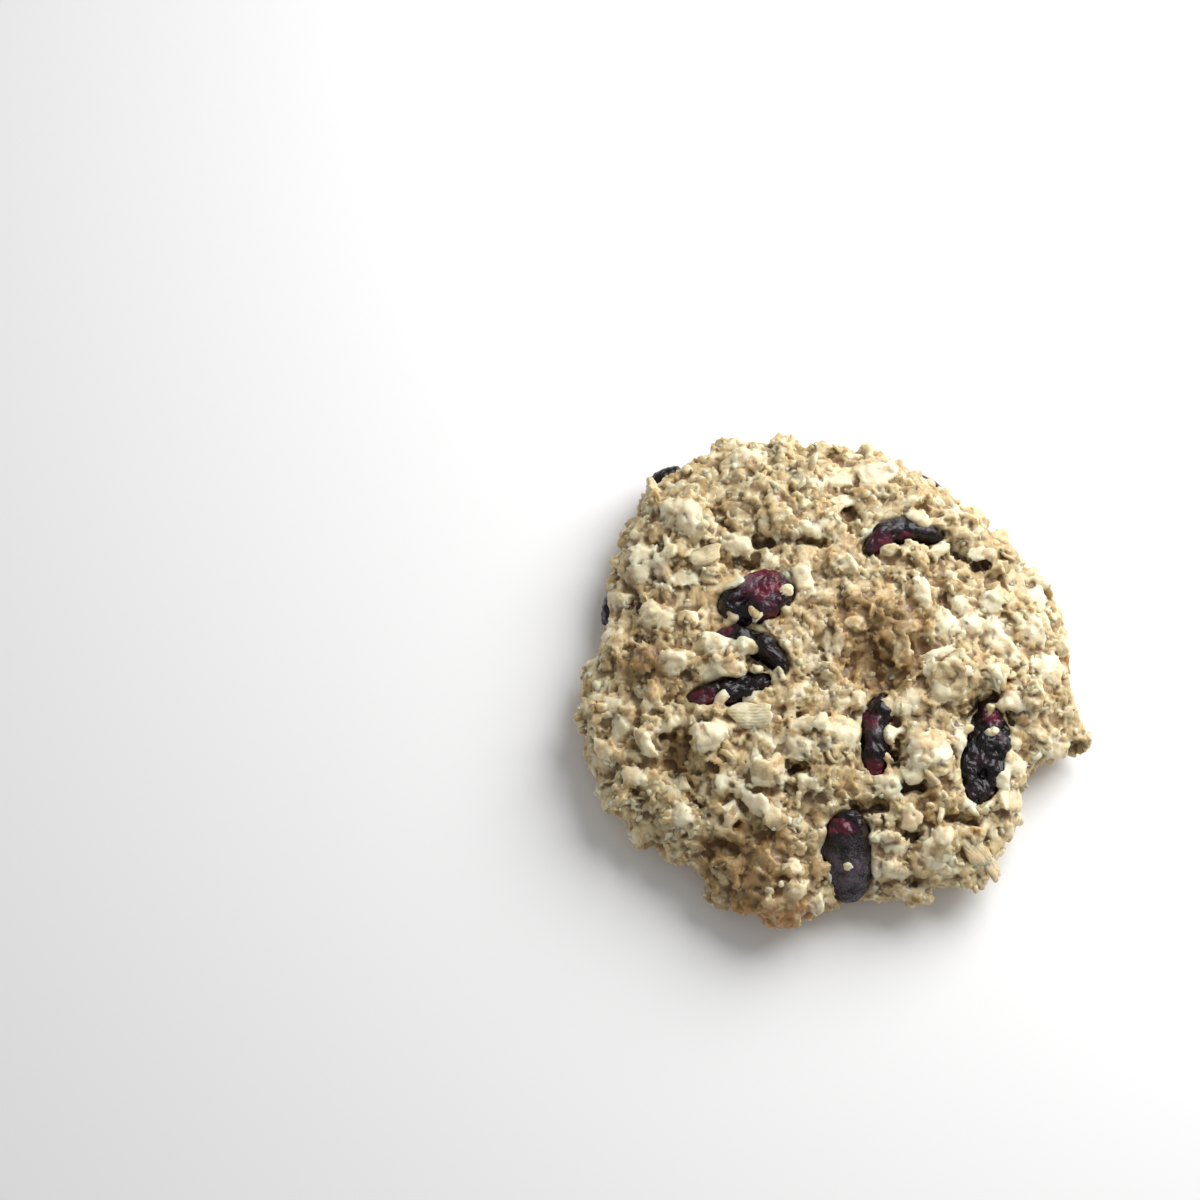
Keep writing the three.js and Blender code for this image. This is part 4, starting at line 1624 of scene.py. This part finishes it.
CREVICES = (
    # back right of the crown
    Crevice((911, 542), (943, 537), 0.85, 3.0),
    Crevice((943, 537), (965, 558), 0.6, 2.6),
    Crevice((975, 566), (987, 562), 0.55, 2.2),
    Crevice((939, 516), (940, 517), 0.45, 2.2),
    Crevice((846, 506), (856, 514), 0.7, 1.4, 2.5, 0.5),
    # back left of the crown
    Crevice((748, 541), (775, 536), 0.7, 2.0, 3.0, 0.75),
    Crevice((775, 536), (826, 541), 0.7, 2.0, 3.0, 0.75),
    Crevice((738, 556), (754, 569), 0.65, 2.2),
    Crevice((715, 514), (731, 527), 0.55, 2.0),
    Crevice((657, 540), (662, 547), 0.5, 1.8),
    Crevice((631, 602), (644, 607), 0.65, 2.2),
    Crevice((641, 637), (647, 644), 0.55, 1.8),
    Crevice((628, 645), (633, 654), 0.55, 1.8),
    # middle and right
    Crevice((855, 713), (856, 715), 0.55, 2.2),
    Crevice((1030, 671), (1031, 673), 0.5, 2.2),
    Crevice((973, 712), (990, 699), 1.2, 3.8),
    Crevice((990, 699), (1008, 712), 1.0, 3.6),
    Crevice((960, 722), (971, 718), 0.65, 2.4),
    Crevice((893, 755), (900, 763), 0.6, 2.0),
    Crevice((892, 722), (897, 750), 0.8, 2.6),
    Crevice((752, 648), (768, 664), 1.3, 1.4, 3.0, 0.5),
    Crevice((704, 716), (712, 718), 0.8, 2.2),
    Crevice((862, 712), (862, 770), 0.6, 1.2, 3.0, 0.35),
    # front
    Crevice((900, 784), (921, 786), 0.75, 2.4),
    Crevice((858, 806), (885, 804), 0.85, 2.6),
    Crevice((908, 834), (921, 833), 0.6, 2.2),
    Crevice((943, 815), (975, 820), 0.9, 2.0, 4.0, 0.6),
    Crevice((909, 882), (920, 880), 0.55, 2.0),
    Crevice((782, 767), (800, 765), 0.75, 2.8),
    Crevice((783, 784), (791, 794), 0.6, 2.2),
    Crevice((698, 800), (708, 812), 0.6, 2.0, 4.0, 0.7),
    Crevice((657, 800), (663, 812), 0.6, 2.0, 4.0, 0.7),
    # broad hollows
    Crevice((872, 668), (873, 669), 4.5, 1.6, 2.0, 0.0),
    Crevice((668, 735), (676, 760), 2.0, 1.6, 2.0, 0.15),
    Crevice((676, 760), (688, 788), 2.0, 1.6, 2.0, 0.15),
    Crevice((715, 836), (716, 837), 3.2, 1.4, 2.0, 0.1),
    Crevice((860, 560), (861, 561), 3.4, 1.1, 2.0, 0.0),
    Crevice((690, 690), (700, 700), 2.4, 1.0, 2.0, 0.0),
)


COATED = (
    Scattered(
        "coated_oats", OatShapes("coated", 14, 11, widths=(0.55, 0.9)), "open_flakes",
        spacing=2.1, sizes=(3.4, 6.2), lean=0.38, sink=0.1, seed=3,
    ),
    Scattered(
        "coated_nuggets", NuggetShapes("coated_nugget", 14, 47), "open_grains",
        spacing=2.7, sizes=(2.0, 3.8), lean=0.45, sink=0.26, seed=7,
    ),
    Scattered(
        "rim_nuggets", NuggetShapes("rim_nugget", 10, 83, heights=(0.6, 0.9)), "rim",
        spacing=1.6, sizes=(1.2, 2.6), lean=0.45, sink=0.22, seed=9,
    ),
)

DOUGH_RELIEF = (
    ReliefPass(3.4, rise=0.25, puff=0.12, lean=0.26),
    ReliefPass(1.7, rise=0.06, puff=0.1, lean=0.34),
)


@dataclass
class CookieBody:
    """The dough with the oats and nuggets that it coats, as one closed piece, in millimetres.

    Clearances are from the fruit and gaps from the shown pieces. Each pair of depths says how far
    under its surroundings a point starts and ends to count as hollow.
    """

    view: View
    first_voxel: float = 0.5
    voxel: float = 0.36
    smoothing: int = 4
    most_triangles: int = 194_000
    lowest_coated: float = 0.9
    lowest_loose: float = 2.8
    flake_clearance: float = 1.3
    grain_clearance: float = 0.15
    fruit_clearance: float = 0.1
    flake_gap: float = 1.3
    grain_gap: float = 0.2
    rim_reach: float = 1.3
    coat_reach: float = 0.30
    pit_reach: float = 0.38
    crown_height: float = 3.0
    wander_span: float = 1.6
    pressed_height: float = 0.25
    shown_reach: float = 0.42
    oat_hold: float = 0.6
    base_band: tuple[float, float] = (0.1, 1.2)
    fruit_band: tuple[float, float] = (0.2, 0.8)
    cavity_rounds: int = 16
    cavity_depths: tuple[float, float] = (-0.12, 0.36)
    sunk_rounds: int = 40
    sunk_depths: tuple[float, float] = (0.1, 1.0)

    def build(
        self, scatter: ScatterTree, relief: ReliefTree, finish: bpy.types.Material
    ) -> bpy.types.Object:
        """Builds the dough.

        Args:
            scatter: the tree that lays the coated oats and nuggets.
            relief: the tree that roughens the surface.
            finish: the dough's material.

        Returns:
            The dough's object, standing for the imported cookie.
        """
        berries = [made.data for name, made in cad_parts.items() if name != "cookie"]
        fruit = tree_over(berries)
        body = self._skinned(copy_of_node("cookie", "dough"), (), self.first_voxel, 1)
        ground = Ground([body.data, *berries], self.view)
        self._sink_crevices(body.data, ground)
        self._mark_open(body.data, fruit, ground, self.lowest_coated)
        added = self._coated(body, ground, scatter, finish)
        sunk = body.data.copy()
        body = self._thinned(self._skinned(body, added, self.voxel, self.smoothing))
        self._mark_oats(body.data, [piece.data for piece in added])
        for piece in added:
            bpy.data.objects.remove(piece)
        self._carry_pits(body.data, sunk)
        store(body.data, "free", self._free(body.data, fruit))
        relief.roughen(body, DOUGH_RELIEF, MM, finish)
        self._press_base(body.data)
        # How hollow each point lies, over a small and a broad reach; the dough's finish paints
        # shade by these.
        for name, rounds, depths in (
            ("cavity", self.cavity_rounds, self.cavity_depths),
            ("sunk", self.sunk_rounds, self.sunk_depths),
        ):
            store(body.data, name, smooth_step(self._hollowness(body.data, rounds), *depths))
        self._mark_open(body.data, fruit, ground, self.lowest_loose)
        body.data.shade_smooth()
        return body

    def _coated(
        self,
        body: bpy.types.Object,
        ground: Ground,
        scatter: ScatterTree,
        finish: bpy.types.Material,
    ) -> list[bpy.types.Object]:
        """Lays what the dough coats: oats, nuggets, crumbs along the fruit and what is shown."""
        added = [kind.laid(body.data, scatter, finish) for kind in COATED]
        shown = {
            "shown_nuggets": [lump.placed(ground, n) for n, lump in enumerate(SHOWN_NUGGETS)],
            "shown_coated_flakes": shown_flakes(ground, loose=False),
        }
        added += [add_object(name, mesh_from(name, shapes)) for name, shapes in shown.items()]
        return added

    def _mark_open(
        self, mesh: bpy.types.Mesh, fruit: BVHTree, ground: Ground, lowest: float
    ) -> None:
        """Stores where things may be scattered: off the base, the fruit, pits and shown pieces."""
        points, facing_up = points_of(mesh), normals_of(mesh)[:, 2]
        away = distances(points, fruit, 2 * self.flake_clearance * MM)
        above = smooth_step(points[:, 2], lowest * MM, (lowest + 1) * MM)
        above *= numbers_of(mesh, "pit") < 0.25
        grains = above * self._clear_of_shown(points, ground, self.grain_gap)
        flakes = above * self._clear_of_shown(points, ground, self.flake_gap)
        flakes *= smooth_step(facing_up, 0.2, 0.5)
        store(mesh, "open_flakes", flakes * (away > self.flake_clearance * MM))
        store(mesh, "open_grains", grains * (away > self.grain_clearance * MM))
        beside = (away > self.fruit_clearance * MM) * (away < self.rim_reach * MM)
        store(mesh, "rim", grains * beside)

    def _clear_of_shown(self, points: np.ndarray, ground: Ground, gap: float) -> np.ndarray:
        """1 where a point is clear of every shown flake and nugget by a gap, else 0."""
        clear = np.ones(len(points))
        for shown in (*SHOWN_FLAKES, *SHOWN_NUGGETS):
            middle = ground.seen(shown.u, shown.v)
            bearing = math.radians(shown.bearing)
            east, north = (points[:, 0] - middle.x) / MM, (points[:, 1] - middle.y) / MM
            along = east * math.cos(bearing) + north * math.sin(bearing)
            across = north * math.cos(bearing) - east * math.sin(bearing)
            long, wide = self.shown_reach * shown.length + gap, self.shown_reach * shown.width + gap
            clear *= np.hypot(along / long, across / wide) > 1
        return clear

    def _skinned(
        self,
        body: bpy.types.Object,
        added: Sequence[bpy.types.Object],
        voxel: float,
        smoothing: int,
    ) -> bpy.types.Object:
        """Joins the dough with what it coats, under one soft skin."""
        form = bmesh.new()
        form.from_mesh(body.data)
        for piece in added:
            form.from_mesh(piece.data)
        form.to_mesh(body.data)
        form.free()
        remesh = body.modifiers.new("skin", "REMESH")
        remesh.mode = "VOXEL"
        remesh.voxel_size = voxel * MM
        smooth = body.modifiers.new("soften", "SMOOTH")
        smooth.factor = 0.5
        smooth.iterations = smoothing
        return settled(body)

    def _thinned(self, body: bpy.types.Object) -> bpy.types.Object:
        """Takes triangles out where the surface is flattest, mostly from the base."""
        body.data.calc_loop_triangles()
        thin = body.modifiers.new("thin", "DECIMATE")
        thin.ratio = min(1.0, self.most_triangles / len(body.data.loop_triangles))
        return settled(body)

    def _mark_oats(self, mesh: bpy.types.Mesh, added: Sequence[bpy.types.Mesh]) -> None:
        """Stores which points belong to something coated, how much of it is oat, and its tone."""
        oat = np.concatenate([numbers_of(piece, "oat") for piece in added])
        tone = np.concatenate([numbers_of(piece, "tone") for piece in added])
        starts = np.cumsum([0, *(len(piece.vertices) for piece in added)])
        first = [
            start + face.vertices[0]
            for start, piece in zip(starts, added)
            for face in piece.polygons
        ]
        tree = tree_over(added)
        points = points_of(mesh)
        shares, tones = np.zeros(len(points)), np.full(len(points), 0.5)
        for i, point in enumerate(points):
            _, _, face, away = tree.find_nearest(Vector(point), self.coat_reach * MM)
            if face is not None:
                near = min(1.0, 1.6 * (1 - away / (self.coat_reach * MM)))
                shares[i], tones[i] = oat[first[face]] * near, tone[first[face]]
        store(mesh, "oat", shares)
        store(mesh, "tone", tones)

    def _free(self, mesh: bpy.types.Mesh, fruit: BVHTree) -> np.ndarray:
        """How freely each point may move: less on coated oats, the base and beside the fruit."""
        points = points_of(mesh)
        away = distances(points, fruit, MM)
        loose = 1 - self.oat_hold * numbers_of(mesh, "oat")
        above, beside = (
            smooth_step(height, low * MM, high * MM)
            for height, (low, high) in ((points[:, 2], self.base_band), (away, self.fruit_band))
        )
        return loose * above * beside

    def _sink_crevices(self, mesh: bpy.types.Mesh, ground: Ground) -> None:
        """Presses the crown down along each crevice, and stores how dark the painted shade is
        there.
        """
        points, normals = points_of(mesh).copy(), normals_of(mesh)
        wander = np.array([noise(Vector(point) / (self.wander_span * MM)) for point in points])
        crown = (normals[:, 2] > 0.15) & (points[:, 2] > self.crown_height * MM)
        pit, drop = np.zeros(len(points)), np.zeros(len(points))
        for crevice in CREVICES:
            start = np.array(ground.seen(*crevice.start))[:2]
            line = np.array(ground.seen(*crevice.end))[:2] - start
            span = max(float(line @ line), 1e-12)
            share = np.clip((points[:, :2] - start) @ line / span, 0, 1)
            away = np.linalg.norm(points[:, :2] - start - share[:, None] * line, axis=1) / MM
            away *= 1 + 0.6 * wander
            fall = np.where(crown, np.exp(-((away / crevice.reach) ** crevice.edge)), 0)
            drop = np.maximum(drop, fall * crevice.depth * MM)
            pit = np.maximum(pit, crevice.dark * smooth_step(fall, 0.2, 0.8))
        points[:, 2] = np.maximum(points[:, 2] - drop, 0)
        set_points(mesh, points)
        store(mesh, "pit", pit)

    def _carry_pits(self, mesh: bpy.types.Mesh, sunk: bpy.types.Mesh) -> None:
        """Stores how dark the painted pit shade is at each point: as dark as on the sunk dough that
        shows there.
        """
        dark = numbers_of(sunk, "pit")
        first = [face.vertices[0] for face in sunk.polygons]
        tree = tree_over([sunk])
        pit = np.zeros(len(mesh.vertices))
        for i, point in enumerate(points_of(mesh)):
            face = tree.find_nearest(Vector(point), self.pit_reach * MM)[2]
            if face is not None:
                pit[i] = dark[first[face]]
        store(mesh, "pit", pit)

    def _press_base(self, mesh: bpy.types.Mesh) -> None:
        """Presses flat what the cookie stands on."""
        points = points_of(mesh).copy()
        points[:, 2] = np.where(points[:, 2] < self.pressed_height * MM, 0, points[:, 2])
        set_points(mesh, points)

    @staticmethod
    def _hollowness(mesh: bpy.types.Mesh, rounds: int) -> np.ndarray:
        """How far each point lies under its surroundings, which grow with the rounds, in mm."""
        points, normals = points_of(mesh).astype(float), normals_of(mesh)
        edges = np.empty(2 * len(mesh.edges), dtype=np.int32)
        mesh.edges.foreach_get("vertices", edges)
        first, second = edges.reshape(-1, 2).T
        here, there = np.concatenate((first, second)), np.concatenate((second, first))
        count = np.maximum(np.bincount(here, minlength=len(points)), 1)
        around = points
        for _ in range(rounds):
            sums = [np.bincount(here, around[there, axis], len(points)) for axis in range(3)]
            around = np.stack(sums, axis=1) / count[:, None]
        return ((around - points) * normals).sum(axis=1) / MM


# -------------------------------------------------------------------------------------------------
# Clean flakes and crumbs
# -------------------------------------------------------------------------------------------------


LOOSE_OATS = (
    Scattered(
        "flakes", OatShapes("flake", 14, 101, (0.45, 0.8), (0.14, 0.22), 12, 2), "open_flakes",
        spacing=3.4, sizes=(3.4, 5.6), lean=0.45, sink=0.06, seed=21,
    ),
    Scattered(
        "flake_bits", OatShapes("bit", 12, 151, (0.45, 0.9), (0.25, 0.4), 8, 2), "open_grains",
        spacing=3.6, sizes=(1.4, 2.8), lean=0.6, sink=0.13, seed=31,
    ),
)

LOOSE_DOUGH = (
    Scattered(
        "dough_chips", ChipShapes("chip", 16, 211, sides=7, heights=(0.3, 0.6)), "open_grains",
        spacing=3.8, sizes=(1.6, 3.0), lean=0.5, sink=0.14, seed=41,
    ),
    Scattered(
        "crumbs", ChipShapes("crumb", 16, 251, heights=(0.45, 0.85)), "open_grains",
        spacing=2.6, sizes=(0.6, 1.4), lean=0.7, sink=0.14, seed=47,
    ),
)


@dataclass
class LooseBits:
    """What lies on the dough and the fruit and isn't coated."""

    dough: bpy.types.Object
    ground: Ground

    def shown(self, finish: bpy.types.Material) -> bpy.types.Object:
        """Lays each loose flake that stands out.

        Args:
            finish: the flakes' material.

        Returns:
            The flakes as one object.
        """
        shapes = shown_flakes(self.ground, loose=True)
        made = add_object("shown_flakes", mesh_from("shown_flakes", shapes))
        made.data.materials.append(finish)
        return made

    def scattered(
        self, scatter: ScatterTree, kinds: Iterable[Scattered], finish: bpy.types.Material
    ) -> list[bpy.types.Object]:
        """Scatters small pieces over the dough.

        Args:
            scatter: the tree that lays them.
            kinds: what is scattered.
            finish: their material.

        Returns:
            One object a kind.
        """
        return [kind.laid(self.dough.data, scatter, finish) for kind in kinds]


# -------------------------------------------------------------------------------------------------
# Cranberries
# -------------------------------------------------------------------------------------------------


@dataclass(frozen=True)
class Spot:
    """A place on a cranberry where its colour changes, in millimetres.

    Its core is the share of its reach that takes the whole colour.
    """

    CORE: ClassVar[float] = 0.4

    x: float
    y: float
    reach: float


@dataclass(frozen=True)
class Lobe:
    """A place on a cranberry that swells, or sinks if its rise is negative, in millimetres."""

    x: float
    y: float
    reach: float
    rise: float


FRUIT_RELIEF = (ReliefPass(3.2, rise=0.9, crease=-1.6), ReliefPass(1.3, rise=0.3, crease=0.9))


@dataclass(frozen=True)
class Cranberry:
    """A dried cranberry: its node, its red places, its places of dull bloom and painted highlight,
    its wrinkles and its lobes.
    """

    node: str
    blush: tuple[Spot, ...] = ()
    # where it takes the bloom colour: dull bloom, and painted highlight where the skin glints
    bloom: tuple[Spot, ...] = ()
    wrinkles: float = 0.5
    lobes: tuple[Lobe, ...] = ()
    swell: float = 0.16
    base_gap: float = 0.12
    base_band: tuple[float, float] = (0.2, 0.9)
    levels: int = 3

    def build(self, relief: ReliefTree, finish: bpy.types.Material) -> bpy.types.Object:
        """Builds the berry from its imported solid.

        Args:
            relief: the tree that wrinkles it.
            finish: its material.

        Returns:
            The berry's object, standing for its node.
        """
        berry = copy_of_node(self.node, self.node.replace("cranberry", "dried_cranberry"))
        finer = berry.modifiers.new("finer", "SUBSURF")
        finer.levels = finer.render_levels = self.levels
        settled(berry)
        mesh = berry.data
        points = points_of(mesh).copy()
        foot = min(points[:, 2].min(), self.base_gap * MM)
        rise = np.full(len(points), self.swell)
        for lobe in self.lobes:
            away = np.hypot(points[:, 0] / MM - lobe.x, points[:, 1] / MM - lobe.y)
            rise += lobe.rise * (1 - smooth_step(away, 0.0, lobe.reach))
        points += normals_of(mesh) * rise[:, None] * MM
        points[:, 2] = np.maximum(points[:, 2], foot)
        set_points(mesh, points)
        low, high = self.base_band
        store(mesh, "free", smooth_step(points[:, 2], low * MM, high * MM))
        relief.roughen(berry, FRUIT_RELIEF, self.wrinkles * MM, finish)
        for name, spots in (("blush", self.blush), ("bloom", self.bloom)):
            store(berry.data, name, self._shares(points, spots))
        berry.data.shade_smooth()
        return berry

    @staticmethod
    def _shares(points: np.ndarray, spots: Sequence[Spot]) -> np.ndarray:
        """How much of a spot's colour each point takes."""
        share = np.zeros(len(points))
        for spot in spots:
            away = np.hypot(points[:, 0] / MM - spot.x, points[:, 1] / MM - spot.y)
            share = np.maximum(share, 1 - smooth_step(away, spot.CORE * spot.reach, spot.reach))
        return share


CRANBERRIES = (
    Cranberry(
        "cranberry_back_right",
        (Spot(7.3, 17.4, 2.8), Spot(11.0, 18.2, 1.6)),
        (Spot(9.4, 20.9, 2.2), Spot(14.2, 21.0, 2.4)),
        0.45,
        (Lobe(8.0, 19.8, 1.8, 0.4), Lobe(9.6, 18.6, 1.2, -0.5)),
    ),
    Cranberry(
        "cranberry_back_left",
        (Spot(-10.0, 10.2, 4.6), Spot(-9.2, 6.0, 2.2)),
        (Spot(-12.6, 11.0, 2.0),),
        0.75,
        (
            Lobe(-15.6, 7.2, 2.6, 0.5),
            Lobe(-11.1, 13.8, 2.0, 0.9),
            Lobe(-13.2, 8.0, 1.4, -0.7),
            Lobe(-7.0, 8.6, 1.8, 0.4),
        ),
    ),
    Cranberry(
        "cranberry_middle_left",
        (Spot(-16.4, 4.4, 2.6),),
        (Spot(-9.4, 3.2, 1.2),),
        0.6,
        (Lobe(-9.4, 3.0, 2.0, 0.4), Lobe(-12.2, 1.8, 2.0, -0.9)),
    ),
    Cranberry(
        "cranberry_front_left",
        (Spot(-19.4, -6.8, 3.2),),
        (Spot(-19.2, -6.6, 1.0),),
        0.8,
        (Lobe(-16.6, -5.3, 1.3, -1.0), Lobe(-19.2, -6.8, 1.6, 0.5), Lobe(-12.6, -4.2, 1.2, -0.4)),
    ),
    Cranberry(
        "cranberry_middle",
        (Spot(4.3, -16.6, 3.0), Spot(4.6, -9.4, 2.2)),
        (Spot(5.4, -11.0, 1.2),),
        0.7,
        (Lobe(4.2, -14.8, 1.1, -0.6), Lobe(4.2, -17.4, 1.4, 0.3), Lobe(5.4, -8.0, 1.4, -0.5)),
    ),
    Cranberry(
        "cranberry_right",
        (Spot(22.4, -8.6, 2.0),),
        (Spot(23.6, -11.2, 1.2),),
        0.95,
        (Lobe(20.3, -19.6, 2.0, 0.6), Lobe(20.8, -17.0, 1.3, -0.8), Lobe(22.2, -9.4, 1.4, 0.5)),
    ),
    Cranberry(
        "cranberry_front",
        tuple(Spot(-2.2 + 1.1 * step, -24.0 - 0.35 * step, 1.5) for step in range(4)),
        (Spot(1.4, -30.6, 5.4),),
        0.4,
        (Lobe(-0.6, -24.0, 1.3, 0.3), Lobe(1.2, -24.2, 1.2, -0.5), Lobe(2.6, -24.6, 1.3, 0.3)),
    ),
    Cranberry("cranberry_far_right", (Spot(22.4, 4.4, 2.0),), (Spot(22.4, 4.4, 5.0),), 0.3),
    Cranberry("cranberry_left_side"),
    Cranberry("cranberry_back_left_side"),
    Cranberry("cranberry_back_side", (Spot(17.0, 32.0, 5.0),)),
    Cranberry("cranberry_base_left", (Spot(-13.0, 9.5, 4.0),), (Spot(-13.0, 9.5, 7.0),), 0.25),
    Cranberry("cranberry_base_right", (Spot(16.0, -8.5, 4.0),), (Spot(16.0, -8.5, 7.0),), 0.25),
)


# -------------------------------------------------------------------------------------------------
# Floor, light and camera
# -------------------------------------------------------------------------------------------------


@dataclass
class Studio:
    """The pale floor, the soft light and the camera, in metres, watts and degrees."""

    view: View
    floor_half: float = 3.0
    ambient: float = 0.36
    key_power: float = 1.45
    key_size: float = 0.30
    key_distance: float = 0.32
    key_bearing: float = 45.0
    key_height: float = 43.0
    nearest_seen: float = 0.01

    def build(self) -> None:
        """Makes the floor, the world, the lamp and the camera."""
        self._floor()
        self._world()
        self._lamp()
        self._camera()

    def _floor(self) -> None:
        """Lays the floor."""
        h = self.floor_half
        mesh = bpy.data.meshes.new("floor")
        mesh.from_pydata([(-h, -h, 0), (h, -h, 0), (h, h, 0), (-h, h, 0)], [], [(0, 1, 2, 3)])
        floor = add_object("floor", mesh)
        mesh.materials.append(FloorFinish("pale_floor").material())

    def _world(self) -> None:
        """Fills the surroundings with even white light, and shows colours as they are."""
        world = bpy.data.worlds.new("soft_white")
        world.use_nodes = True
        world.node_tree.nodes.clear()
        graph = Graph(world.node_tree)
        light = graph.add(
            "ShaderNodeBackground", None, {"Color": (1, 1, 1, 1), "Strength": self.ambient}
        )
        graph.add("ShaderNodeOutputWorld", None, {"Surface": light})
        bpy.context.scene.world = world
        bpy.context.scene.view_settings.view_transform = "Standard"

    def _lamp(self) -> None:
        """Hangs the soft light at the upper right."""
        lamp = bpy.data.lights.new("soft_light", "AREA")
        lamp.shape = "DISK"
        lamp.size = self.key_size
        lamp.energy = self.key_power
        made = bpy.data.objects.new("soft_light", lamp)
        bearing, height = math.radians(self.key_bearing), math.radians(self.key_height)
        way = Vector(
            (
                math.cos(bearing) * math.cos(height),
                math.sin(bearing) * math.cos(height),
                math.sin(height),
            )
        )
        made.location = way * self.key_distance
        made.rotation_euler = way.to_track_quat("Z", "Y").to_euler()
        bpy.context.scene.collection.objects.link(made)

    def _camera(self) -> None:
        """Sets the camera at the photograph's angle and framing."""
        lens = bpy.data.cameras.new("camera")
        lens.lens = self.view.lens
        lens.sensor_width = self.view.sensor
        lens.clip_start = self.nearest_seen
        camera = bpy.data.objects.new("camera", lens)
        turn = Matrix(self.view.axes()).transposed().to_4x4()
        camera.matrix_world = Matrix.Translation(self.view.place()) @ turn
        bpy.context.scene.collection.objects.link(camera)
        bpy.context.scene.camera = camera


# -------------------------------------------------------------------------------------------------
# The whole
# -------------------------------------------------------------------------------------------------


def report(made: bpy.types.Object) -> None:
    """Logs a finished piece and its triangles."""
    made.data.calc_loop_triangles()
    log.info("%s: %d triangles", made.name, len(made.data.loop_triangles))


def hand_in(made: bpy.types.Object, node: str | None = None) -> None:
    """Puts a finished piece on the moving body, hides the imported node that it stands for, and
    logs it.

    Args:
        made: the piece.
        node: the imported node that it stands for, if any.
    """
    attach(made, BODY)
    if node is not None:
        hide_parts(node)
    report(made)


def main() -> None:
    """Builds the cookie, its floor, light and camera."""
    logging.basicConfig(level=logging.INFO, format="%(name)s %(message)s")
    view = View()
    Studio(view).build()
    scatter, relief = ScatterTree(), ReliefTree()
    glow = {"subsurface": 0.8, "subsurface_reach": 1.3 * MM}
    dough_finish = DoughFinish("baked_dough", **glow).material()
    oat_finish = OatFinish("rolled_oats", **glow).material()
    fruit_finish = FruitFinish("dried_cranberry", specular=0.2, coat_roughness=0.08).material()

    dough = CookieBody(view).build(scatter, relief, dough_finish)
    hand_in(dough, "cookie")
    berries = []
    for cranberry in CRANBERRIES:
        berry = cranberry.build(relief, fruit_finish)
        hand_in(berry, cranberry.node)
        berries.append(berry.data)

    bits = LooseBits(dough, Ground([dough.data, *berries], view))
    hand_in(bits.shown(oat_finish))
    for kinds, finish in ((LOOSE_OATS, oat_finish), (LOOSE_DOUGH, dough_finish)):
        for made in bits.scattered(scatter, kinds, finish):
            hand_in(made)


if __name__ == "__main__":
    main()
